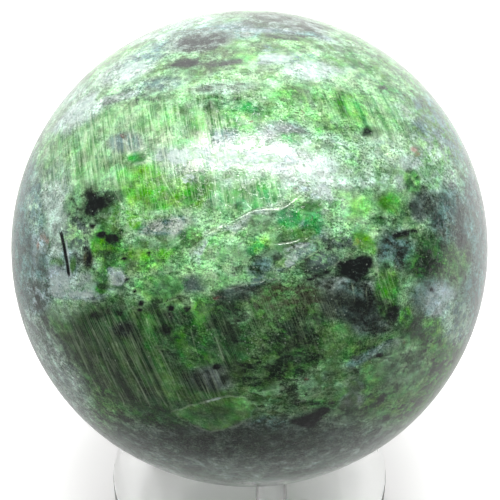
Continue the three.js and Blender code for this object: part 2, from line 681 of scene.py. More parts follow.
@dataclass(frozen=True)
class Path:
    """A line of straight stretches on the photograph, as wide as a brush, or a filled outline.

    Attributes:
        points: Its corners in pixels.
        half_width: Half the brush's width in pixels.
        softness: The width of its edge in pixels.
        filled: Whether it is a closed outline with its inside.
    """

    points: tuple[tuple[float, float], ...]
    half_width: float = 0.0
    softness: float = 3.0
    filled: bool = False

    def offset(self, x: np.ndarray, y: np.ndarray) -> tuple[np.ndarray, np.ndarray]:
        """How far each point is from the line, and on which side.

        Args:
            x: The points' pixels from the left.
            y: The points' pixels from the top.

        Returns:
            The distances, and 1 on one side or inside and -1 on the other.
        """
        distance = np.full(x.shape, np.inf)
        side = np.ones(x.shape)
        inside = np.zeros(x.shape, bool)
        ends = self.points[1:] + self.points[:1] if self.filled else self.points[1:]
        for (x0, y0), (x1, y1) in zip(self.points, ends):
            along = ((x - x0) * (x1 - x0) + (y - y0) * (y1 - y0)) / ((x1 - x0) ** 2 + (y1 - y0) ** 2)
            along = np.clip(along, 0.0, 1.0)
            here = np.hypot(x - x0 - along * (x1 - x0), y - y0 - along * (y1 - y0))
            turn = np.where((x1 - x0) * (y - y0) - (y1 - y0) * (x - x0) >= 0.0, 1.0, -1.0)
            side = np.where(here < distance, turn, side)
            distance = np.minimum(distance, here)
            if self.filled and y0 != y1:
                crossed = (y0 > y) != (y1 > y)
                inside ^= crossed & (x < x0 + (y - y0) * (x1 - x0) / (y1 - y0))
        if self.filled:
            side = np.where(inside, 1.0, -1.0)
        return distance, side

    def cover(self, x: np.ndarray, y: np.ndarray) -> np.ndarray:
        """How much of it lies at each point, a half at its edge.

        Args:
            x: The points' pixels from the left.
            y: The points' pixels from the top.

        Returns:
            From 0 outside to 1 inside.
        """
        distance, side = self.offset(x, y)
        inward = distance * side if self.filled else -distance
        return soft_step((inward + self.half_width) / self.softness + 0.5)


@dataclass(frozen=True)
class Ground:
    """Where the rock is a mix of light and dark grains.

    Attributes:
        shape: Where.
        light: The light grains' colour.
        dark: The dark grains' colour.
        share: How much of it is dark grains.
        clear: How smooth and clear its crystal is, from 0 for coarse grains to 1.
    """

    shape: Oval | Path
    light: Tone
    dark: Tone
    share: float = 0.5
    clear: float = 0.0


@dataclass(frozen=True)
class Spot:
    """Where a layer is stronger, or weaker with a negative strength.

    Attributes:
        shape: Where.
        strength: How strong it is there.
    """

    shape: Oval | Path
    strength: float


@dataclass(frozen=True)
class Vein:
    """A thin light line.

    Attributes:
        path: Its course.
        strength: How light it is.
    """

    path: Path
    strength: float


def outline(softness: float, *points: tuple[float, float]) -> Path:
    """A closed outline with its inside, through its corners in pixels."""
    return Path(points, 0.0, softness, True)


def blot(strength: float, x: float, y: float, half_width: float, half_height: float, turn: float = 0.0,
         softness: float = 0.9) -> Spot:
    """An oval spot, which takes an oval's sizes after its strength."""
    return Spot(Oval(x, y, half_width, half_height, turn, softness), strength)


def vein(strength: float, *points: tuple[float, float]) -> Vein:
    """A thin light line through its corners in pixels."""
    return Vein(Path(points), strength)


GROUNDS = (
    # The whole ball, then its paler crown and its dark lower half
    Ground(Oval(250, 190, 400, 170, 0, 0.3), MINT, MOSS, 0.35),
    Ground(Oval(250, 70, 235, 55, 0, 0.7), MINT, OLIVE, 0.3),
    Ground(outline(16, (-20, 306), (60, 306), (130, 308), (200, 306), (262, 284), (330, 280), (400, 330),
           (520, 330), (520, 520), (-20, 520)), OLIVE, PINE, 0.35),
    Ground(Oval(250, 460, 200, 45), ASH, LEAD, 0.75, 0.7),
    # The grey rims
    Ground(Oval(24, 235, 22, 95, 0, 0.7), STEEL, STEEL, 0.3),
    Ground(Oval(50, 370, 24, 70, 30), MILK, ASH),
    Ground(Oval(476, 250, 18, 110), STEEL, SLATE),
    Ground(Oval(436, 125, 26, 50, 38), STEEL, OLIVE, 0.4),
    # The top, from left to right
    Ground(Oval(70, 112, 34, 20, 42, 0.7), MILK, FROST, 0.4),
    Ground(Oval(128, 70, 34, 12, 24), MILK, MILK, 0.4),
    Ground(Oval(160, 50, 40, 10, 24), FROST, STEEL),
    Ground(Oval(175, 28, 50, 8, 14), MILK, SAGE, 0.35),
    Ground(Oval(238, 30, 60, 9, 4), STEEL, ASH),
    Ground(Oval(287, 25, 46, 11, -9, 0.7), ASH, MOULD, 0.6),
    Ground(Oval(205, 62, 44, 14, 4), SAGE, FERN, 0.6),
    Ground(Oval(200, 42, 32, 10, 8, 0.7), ASH, SOOT, 0.6),
    Ground(Oval(330, 48, 50, 10, -14), FROST, BARK, 0.4),
    Ground(Oval(310, 68, 52, 15, -4, 0.7), MINT, STEEL, 0.3),
    Ground(Oval(250, 78, 40, 14), MINT, OLIVE, 0.45),
    Ground(Oval(285, 46, 44, 7), MINT, OLIVE),
    Ground(Path(((222, 27), (260, 30), (312, 34), (330, 40)), 2.0, 3), LILAC, STEEL, 0.6),
    Ground(Path(((262, 35), (298, 38), (312, 41)), 2.5, 4), FERN, MOULD, 0.4),
    Ground(outline(4, (166, 67), (178, 59), (198, 58), (203, 64), (190, 68)), PINE, CHAR, 0.7),
    Ground(Oval(246, 57, 14, 8), APPLE, OLIVE, 0.45),
    Ground(Oval(268, 48, 8, 4), STEEL, FERN, 0.6),
    Ground(outline(4, (255, 64), (268, 56), (290, 57), (292, 64)), LILAC, FROST, 0.6),
    Ground(outline(6, (284, 72), (300, 62), (330, 62), (352, 78), (336, 84), (300, 82)), MILK, FROST, 0.3),
    Ground(Oval(336, 60, 16, 8, -30), SAGE, OLIVE, 0.6),
    Ground(Oval(382, 88, 19, 7, -10), JADE, SLATE, 0.6),
    Ground(Oval(365, 62, 34, 10, -28), SAGE, CLOVER),
    Ground(Oval(400, 78, 30, 12, -36), SAGE, OLIVE, 0.3),
    Ground(Oval(150, 88, 32, 9, 12), FROST, STEEL),
    Ground(Oval(225, 102, 30, 9, 8, 0.7), SAGE, FOREST, 0.6),
    Ground(Oval(225, 88, 34, 6, 3), FROST, LEAD),
    Ground(Oval(320, 95, 60, 14, -4), MINT, SAGE),
    Ground(Oval(285, 95, 16, 10), APPLE, OLIVE),
    Ground(Oval(318, 98, 20, 13), APPLE, SAGE),
    Ground(Oval(355, 106, 22, 16, -30), LIME, JADE, 0.3),
    Ground(Path(((337, 95), (340, 104), (344, 114)), 4.0, 5), GRASS, FOREST, 0.6),
    Ground(Oval(240, 112, 22, 10), SAGE, EMERALD),
    Ground(Oval(385, 112, 24, 16, -30), MINT, JADE, 0.4),
    Ground(Oval(405, 112, 13, 10, -30, 0.7), FROST, SAGE, 0.6),
    Ground(Oval(355, 85, 26, 9, -14), MINT, SAGE, 0.45),
    # Round the highlight
    Ground(Oval(245, 128, 110, 16), APPLE, SAGE, 0.6),
    Ground(Oval(215, 138, 26, 11, 8), SAGE, MOULD, 0.3),
    Ground(Oval(285, 134, 26, 12, -4), ICE, ASH, 0.6),
    Ground(Oval(245, 158, 92, 14, -5), LILAC, MINT, 0.6),
    Ground(Oval(350, 160, 34, 24, 0, 0.9), FROST, MINT, 0.55),
    Ground(Oval(395, 152, 26, 18, 0, 0.9), FROST, STRAW, 0.4),
    Ground(Oval(425, 158, 22, 20, 0, 0.9), MILK, MINT, 0.6),
    # Upper left
    Ground(Oval(110, 125, 62, 32, 8), MINT, SAGE, 0.4),
    Ground(Oval(80, 165, 38, 34), MINT, SAGE, 0.4),
    Ground(Oval(127, 143, 20, 11, 0, 0.7), MAUVE, STEEL),
    Ground(Oval(128, 180, 28, 24), SPRING, SAGE, 0.3),
    Ground(Oval(245, 188, 50, 13), MINT, JADE, 0.6),
    Ground(Oval(58, 205, 13, 40, -2, 0.7), MILK, MILK, 0.4),
    Ground(Oval(57, 173, 10, 7), FROST, SAGE, 0.4),
    # Left
    Ground(Oval(95, 210, 26, 26, 0, 0.7), SAGE, MOULD, 0.4),
    Ground(Oval(80, 235, 16, 16), MINT, SLATE),
    Ground(Oval(95, 255, 32, 12), FROST, LEAD, 0.4),
    Ground(Oval(62, 262, 18, 14), ICE, SLATE),
    Ground(Oval(36, 250, 12, 24), ICE, ASH, 0.4),
    Ground(Oval(64, 282, 22, 16, -20, 0.7), ICE, LILAC),
    Ground(Oval(86, 292, 28, 9, -6, 0.7), FROST, ICE, 0.4),
    Ground(Oval(27, 255, 6, 34, 0, 0.9), STEEL, SLATE, 0.3),
    Ground(Oval(36, 205, 9, 26, 0, 0.9), FROST, STEEL, 0.6),
    Ground(Oval(47, 198, 5, 18, 0, 0.7), MILK, MILK, 0.4),
    Ground(Oval(72, 205, 8, 12), SAGE, MOULD, 0.4),
    Ground(Oval(56, 250, 7, 7, 0, 0.7), MILK, MILK, 0.4),
    Ground(Oval(57, 263, 8, 6, 0, 0.7), OLIVE, LEAD),
    Ground(Oval(55, 281, 8, 16, 0, 0.6), ICE, LILAC),
    Ground(Oval(108, 246, 17, 20, 0, 0.6), GRASS, FOREST, 0.55),
    Ground(Oval(95, 247, 4, 9, 0, 0.7), LIME, GRASS, 0.4),
    Ground(Oval(88, 259, 6, 10, 0, 0.7), BARK, SOOT, 0.3),
    Ground(outline(3, (97, 270), (103, 266), (110, 271), (111, 280), (104, 284), (98, 279)), LIME, MOSS, 0.6),
    Ground(outline(3, (108, 268), (120, 270), (128, 279), (120, 286), (110, 284)), MILK, LILAC, 0.4),
    Ground(Oval(101, 289, 7, 7), CLOVER, FOREST),
    Ground(Oval(40, 292, 14, 22, -10), ICE, SLATE, 0.6),
    # Middle left
    Ground(Oval(140, 218, 34, 16), MINT, GRASS, 0.4),
    Ground(Oval(166, 229, 30, 11, 12, 0.7), MAUVE, STEEL, 0.4),
    Ground(Oval(188, 236, 15, 8, 25, 0.7), FOREST, PINE, 0.6),
    Ground(Oval(150, 257, 34, 15, 4), LIME, OLIVE),
    Ground(Oval(152, 242, 30, 7), SAGE, OLIVE),
    Ground(Oval(185, 262, 18, 10, 10), SPRING, FERN, 0.3),
    Ground(Oval(196, 284, 18, 9), SLATE, MOSS, 0.4),
    Ground(Oval(158, 301, 26, 5, 2), OLIVE, PINE),
    Ground(Oval(125, 300, 26, 7), SAGE, MOSS),
    # Middle
    Ground(Oval(222, 228, 32, 20, 15), SPRING, SAGE, 0.35),
    Ground(Oval(222, 262, 24, 28), SPRING, MINT, 0.35),
    Ground(Oval(255, 200, 40, 10, 10), SPRING, JADE),
    Ground(Path(((193, 252), (204, 235), (220, 229), (236, 226), (249, 216), (260, 212), (278, 207),
           (285, 200), (298, 192)), 3.0, 4), MILK, STRAW, 0.6),
    Ground(Oval(285, 196, 14, 6, -20), SPRING, SAGE, 0.4),
    Ground(Oval(322, 224, 20, 16), MILK, ICE, 0.4),
    Ground(Oval(272, 231, 11, 9), SPRING, SAGE, 0.3),
    Ground(Oval(262, 246, 16, 9), LIME, JADE, 0.6),
    Ground(Oval(212, 245, 6, 6, 0, 0.7), APPLE, SAGE),
    Ground(Oval(196, 238, 8, 10, 20, 0.7), APPLE, FERN, 0.4),
    Ground(outline(3, (191, 258), (197, 246), (205, 236), (208, 242), (203, 254), (200, 264)), MILK, MINT,
           0.3),
    Ground(Oval(318, 190, 22, 9, -16, 0.7), ICE, SAGE, 0.3),
    Ground(Oval(338, 196, 16, 8, -18, 0.7), SPRING, MOULD, 0.35),
    Ground(Oval(348, 220, 30, 18), SPRING, SAGE, 0.35),
    Ground(Oval(362, 207, 12, 11, 0, 0.7), APPLE, OLIVE, 0.6),
    Ground(Oval(380, 180, 22, 12), FROST, SAGE, 0.6),
    Ground(Oval(392, 200, 18, 15, 0, 0.7), SAGE, FERN, 0.3),
    # Right
    Ground(Oval(384, 150, 20, 14, 0, 0.9), STRAW, FROST, 0.6),
    Ground(Oval(409, 162, 9, 8), MILK, MILK, 0.4),
    Ground(Oval(432, 178, 15, 20), FROST, SAGE),
    Ground(Oval(449, 188, 8, 22, -10), FROST, ASH, 0.3),
    Ground(Oval(448, 222, 20, 30, 0, 0.9), STEEL, SLATE, 0.45),
    Ground(Oval(466, 250, 6, 12, 0, 0.9), LEAD, SOOT),
    Ground(Oval(404, 214, 12, 12), OLIVE, FOREST, 0.35),
    Ground(Oval(421, 214, 10, 8, 0, 0.9), ASH, SLATE),
    Ground(Oval(430, 246, 22, 14), MOSS, FOREST),
    Ground(Oval(452, 215, 16, 30), STEEL, SLATE, 0.4),
    Ground(Oval(385, 222, 18, 10, -10), SAGE, MOSS),
    Ground(Oval(395, 252, 20, 22), STEEL, SOOT),
    Ground(Oval(428, 268, 24, 18), CLOVER, PINE, 0.6),
    Ground(Oval(456, 262, 14, 20), OLIVE, FOREST),
    # The dark band across the middle
    Ground(Oval(300, 262, 56, 22, 10, 0.7), SAGE, MOULD, 0.4),
    Ground(Oval(298, 252, 30, 11, 10), SAGE, MOULD, 0.6),
    Ground(Oval(252, 270, 26, 12, 15), SAGE, PINE, 0.3),
    Ground(Oval(345, 240, 18, 8), SAGE, SLATE),
    Ground(Oval(262, 267, 14, 8, 20), STEEL, PINE),
    Ground(Path(((276, 268), (290, 259), (310, 249)), 5.0, 5), FROST, STEEL),
    Ground(Oval(322, 262, 16, 9, 20), SAGE, SLATE, 0.65),
    Ground(Oval(240, 293, 30, 9, 12, 0.7), SLATE, SOOT, 0.55),
    Ground(Oval(345, 290, 40, 16), ASH, SOOT, 0.75),
    Ground(Oval(290, 300, 36, 18), OLIVE, BARK, 0.55),
    Ground(Oval(365, 312, 38, 26, 0, 0.7), SLATE, CHAR, 0.6),
    Ground(Oval(388, 290, 12, 26, 0, 0.7), GRASS, FOREST, 0.6),
    Ground(Oval(408, 300, 10, 26), MINT, SAGE, 0.6),
    Ground(Oval(435, 300, 26, 22, -20, 0.7), STEEL, LEAD, 0.5, 0.6),
    Ground(Oval(350, 297, 12, 18), STEEL, SOOT, 0.4),
    Ground(Oval(441, 302, 15, 18, 0, 0.7), ICE, ASH, 0.3, 0.7),
    Ground(Oval(420, 328, 24, 12), FOREST, PINE),
    Ground(Oval(406, 317, 7, 11, 0, 0.7), GRASS, MOSS, 0.6),
    Ground(Oval(436, 326, 14, 9), GRASS, MOSS, 0.4),
    Ground(Oval(456, 320, 14, 22), FROST, STEEL, 0.3),
    # Lower left
    Ground(Oval(68, 312, 18, 10), FROST, MINT, 0.3),
    Ground(Oval(118, 345, 62, 40, -20), FERN, MOULD, 0.6),
    Ground(Oval(108, 322, 30, 12), FOREST, PINE, 0.4),
    Ground(Oval(140, 385, 44, 24, -20), FERN, MOULD),
    Ground(Oval(170, 322, 22, 12), MOSS, CHAR, 0.6),
    Ground(Oval(190, 345, 22, 30), CLOVER, FOREST),
    Ground(Oval(205, 308, 12, 12), GRASS, FOREST),
    Ground(Oval(148, 330, 12, 24, -14), CLOVER, PINE, 0.6),
    # Lower middle
    Ground(Oval(232, 335, 26, 34), MOSS, PINE),
    Ground(Oval(265, 345, 16, 16), FERN, PINE, 0.4),
    Ground(Oval(300, 345, 34, 34), OLIVE, PINE, 0.7),
    Ground(Oval(338, 342, 16, 20), OLIVE, FOREST, 0.3),
    Ground(Oval(215, 378, 26, 12), ASH, SOOT, 0.65),
    Ground(Oval(250, 375, 26, 14), FERN, PINE, 0.4),
    Ground(Oval(310, 385, 60, 12, 20), SAGE, MOULD, 0.6),
    Ground(Oval(336, 342, 16, 18, 0, 0.7), OLIVE, FOREST, 0.3),
    Ground(Path(((346, 368), (362, 359), (375, 352), (386, 349)), 4.0, 4), STEEL, SLATE, 0.3),
    Ground(Oval(355, 383, 12, 8), SLATE, FERN, 0.4, 0.6),
    Ground(Oval(388, 348, 14, 6, 20, 0.7), LILAC, STEEL, 0.6),
    Ground(Oval(378, 374, 15, 13, 0, 0.7), APPLE, OLIVE, 0.6, 0.7),
    Ground(Oval(400, 365, 26, 24, 30), SAGE, MOULD, 0.5, 0.7),
    Ground(Oval(330, 375, 20, 14), SAGE, FERN, 0.6, 0.5),
    Ground(Oval(262, 405, 24, 14), SAGE, FERN, 0.6),
    Ground(Oval(160, 412, 34, 14, -14), MOSS, FOREST),
    Ground(Oval(270, 424, 18, 8), STEEL, LEAD, 0.6),
    Ground(Oval(240, 442, 110, 16), LEAD, SOOT, 0.5, 0.5),
    # Smaller patches from the top down
    Ground(outline(4, (50, 131), (60, 118), (74, 104), (90, 93), (100, 91), (94, 101), (80, 111), (66, 122),
           (56, 134)), MILK, MILK, 0.4, 0.5),
    Ground(outline(4, (93, 105), (104, 97), (122, 93), (142, 90), (136, 97), (114, 103), (98, 109)), MILK,
           ASH, 0.6),
    Ground(Oval(144, 101, 16, 4, 10), SAGE, LEAD),
    # Painted highlight: white at the right end of the mirrored lamp, which brightens it there.
    Ground(Oval(318, 166, 22, 11), MILK, MILK, 0.4),
    Ground(Oval(400, 183, 7, 8), FROST, ASH, 0.4),
    Ground(Oval(281, 263, 9, 6, 20), OLIVE, PINE, 0.3),
    Ground(Oval(111, 314, 14, 8), MOSS, PINE, 0.6),
    Ground(Oval(125, 330, 14, 8), SOOT, CHAR, 0.4),
    Ground(Path(((146, 318), (152, 345), (163, 374), (172, 396)), 4.5, 4), OLIVE, CLOVER, 0.4),
    Ground(Path(((163, 318), (166, 338), (177, 362), (184, 378)), 6.0, 5), MOSS, PINE),
    Ground(Path(((137, 332), (141, 350), (150, 368)), 5.0, 5), PINE, PINE, 0.3),
    Ground(Oval(331, 391, 15, 7, 20), SAGE, FERN, 0.45, 0.6),
    Ground(Oval(352, 401, 12, 8, 20), ASH, FERN, 0.5, 0.6),
    Ground(Oval(222, 137, 17, 7, 10), STEEL, SLATE, 0.4),
    Ground(Oval(290, 139, 18, 6), SAGE, JADE, 0.4),
    # The dark patches at the right and in the dark band
    Ground(Oval(424, 204, 16, 15, 20, 0.7), SLATE, SOOT),
    Ground(Path(((328, 308), (343, 297), (355, 304)), 9.0, 9), SOOT, CHAR, 0.3),
    Ground(Path(((462, 209), (458, 228), (461, 246)), 5.0, 7), SLATE, SOOT),
    # The white patch at the upper left rim and the pale grains round the highlight
    Ground(Path(((66, 128), (80, 117), (95, 108)), 7.0, 8), MILK, MILK),
    Ground(Path(((150, 143), (172, 139), (203, 139)), 7.0, 9), STRAW, SPRING),
    Ground(Path(((308, 143), (327, 139), (337, 145)), 6.0, 8), FROST, MINT, 0.4),
    Ground(Path(((286, 183), (312, 177), (346, 183), (368, 181)), 6.0, 9), MILK, FROST),
    Ground(Path(((226, 183), (248, 180)), 6.0, 8), FROST, MINT),
    # The dark gaps between the threads over the bright grain
    Ground(Path(((108, 163), (127, 161)), 6.0, 8), SAGE, OLIVE),
    # The dark patch at the left rim, the milky patch under the wedges and the grey bands of the middle
    Ground(Path(((42, 259), (41, 275)), 6.0, 7), STEEL, SLATE, 0.3),
    Ground(Path(((74, 285), (87, 277)), 5.0, 6), MILK, FROST, 0.4),
    Ground(Path(((254, 281), (270, 276)), 4.0, 6), SAGE, STEEL, 0.4),
    Ground(Path(((230, 322), (246, 316)), 5.0, 7), SAGE, MOULD),
)

CRYSTALS = (
    # Clear grains with a smooth inside. First the bright green one under the highlight, in three parts
    Ground(outline(7, (120, 182), (126, 170), (140, 164), (158, 166), (170, 178), (206, 174), (211, 188),
           (200, 208), (172, 207), (140, 211), (126, 203)), LIME, GRASS, 0.45, 0.5),
    Ground(outline(5, (142, 190), (160, 188), (178, 190), (184, 202), (166, 207), (146, 204)), GRASS, CLOVER,
           0.35, 0.5),
    Ground(Oval(197, 188, 12, 13, 0, 0.6), GRASS, CLOVER, 0.7, 0.6),
    Ground(Oval(157, 201, 14, 9), GRASS, GRASS, 0.3, 0.5),
    Ground(Oval(202, 179, 9, 8), GRASS, MOSS, 0.6, 0.5),
    Ground(Path(((234, 231), (247, 223), (259, 213)), 3.0, 5), MILK, STRAW, 0.3, 0.3),
    Ground(Oval(126, 178, 10, 10), APPLE, LIME, 0.4, 0.8),
    # The emerald lens and its light edge
    Ground(Oval(138, 158, 12, 7, 4, 0.3), STRAW, MINT, 0.3, 1.0),
    Ground(Oval(137, 158, 9.5, 5, 4, 0.3), JADE, CLOVER, 0.5, 1.0),
    # The leaf at the bottom
    Ground(outline(3, (174, 411), (190, 406), (207, 403), (227, 397), (243, 398), (255, 405), (250, 417),
           (235, 425), (222, 430), (209, 431), (193, 424), (180, 417)), OLIVE, OLIVE, 0.3, 0.7),
    Ground(Oval(241, 405, 10, 6, 0, 0.7), APPLE, OLIVE, 0.4, 0.7),
    Ground(Oval(215, 413, 20, 7, 0, 0.9), FERN, MOSS, 0.4, 0.7),
    # The middle, from left to right
    Ground(outline(4, (133, 279), (150, 275), (168, 274), (181, 280), (184, 290), (170, 299), (150, 300),
           (136, 294)), APPLE, MOSS, 0.5, 0.6),
    Ground(Oval(107, 264, 7, 4, 0, 0.5), OLIVE, PINE, 0.3, 0.8),
    Ground(Oval(73, 265, 3.5, 9, -4, 0.5), OLIVE, MOSS, 0.4, 0.8),
    Ground(outline(5, (276, 214), (284, 208), (298, 209), (303, 216), (300, 226), (286, 230), (277, 224)),
           JADE, EMERALD, 0.4, 0.6),
    Ground(outline(4, (298, 205), (306, 202), (320, 203), (324, 208), (314, 212), (302, 212)), CLOVER, FOREST,
           0.5, 0.7),
    Ground(outline(5, (304, 212), (320, 210), (325, 222), (320, 236), (310, 236), (303, 226)), JADE, EMERALD,
           0.7, 0.5),
    Ground(outline(4, (268, 228), (274, 226), (279, 234), (280, 245), (272, 247), (268, 238)), SPRING, FERN,
           0.3, 0.6),
    Ground(outline(3, (247, 222), (252, 215), (262, 213), (270, 215), (271, 224), (265, 233), (253, 234),
           (247, 229)), MINT, MOULD, 0.3, 1.0),
    Ground(outline(3, (275, 241), (282, 232), (296, 229), (310, 226), (318, 232), (308, 240), (292, 243),
           (278, 244)), OLIVE, MOSS, 0.6, 0.6),
    Ground(outline(3, (274, 247), (284, 244), (292, 246), (290, 253), (284, 257), (277, 253)), SAGE, FERN,
           0.6, 1.0),
    Ground(outline(4, (317, 185), (326, 189), (336, 199), (330, 201), (319, 196), (310, 190)), MILK, MILK,
           0.5, 0.8),
    # The right
    Ground(Oval(361, 205, 10, 8, -20, 0.6), APPLE, LIME, 0.3, 0.9),
    Ground(Oval(389, 203, 11, 10, 0, 0.7), GRASS, CLOVER, 0.4, 0.7),
    Ground(outline(4, (353, 234), (362, 231), (371, 238), (377, 250), (374, 256), (364, 249), (354, 243)),
           LIME, GRASS, 0.45, 0.6),
    Ground(outline(4, (404, 172), (414, 169), (421, 178), (420, 190), (409, 192), (404, 183)), APPLE, MOSS,
           0.6, 0.4),
    Ground(outline(4, (380, 276), (391, 274), (397, 286), (394, 300), (385, 298), (380, 288)), GRASS, CLOVER,
           0.7, 0.4),
    Ground(outline(2, (393, 237), (404, 233), (413, 231), (408, 238), (397, 240)), FERN, PINE, 0.5, 0.8),
    # Rose and amber grains
    Ground(Oval(43, 236, 2.5, 3.5, 20, 0.4), ROSE, MAUVE, 0.7, 0.8),
    Ground(Oval(47, 241, 2.2, 3, 0, 0.4), ROSE, MAUVE, 0.7, 0.8),
    Ground(Oval(38, 246, 2, 3, 0, 0.4), ROSE, STEEL, 0.5, 0.8),
    Ground(Oval(415, 149, 4, 2.4, 10, 0.4), ROSE, MAUVE, 0.7, 0.8),
    Ground(Oval(417, 154, 2.6, 2.6, 0, 0.4), ROSE, SAGE, 0.6, 0.8),
    Ground(Oval(356, 242, 2.6, 3, 0, 0.4), AMBER, LIME, 0.8, 0.9),
)

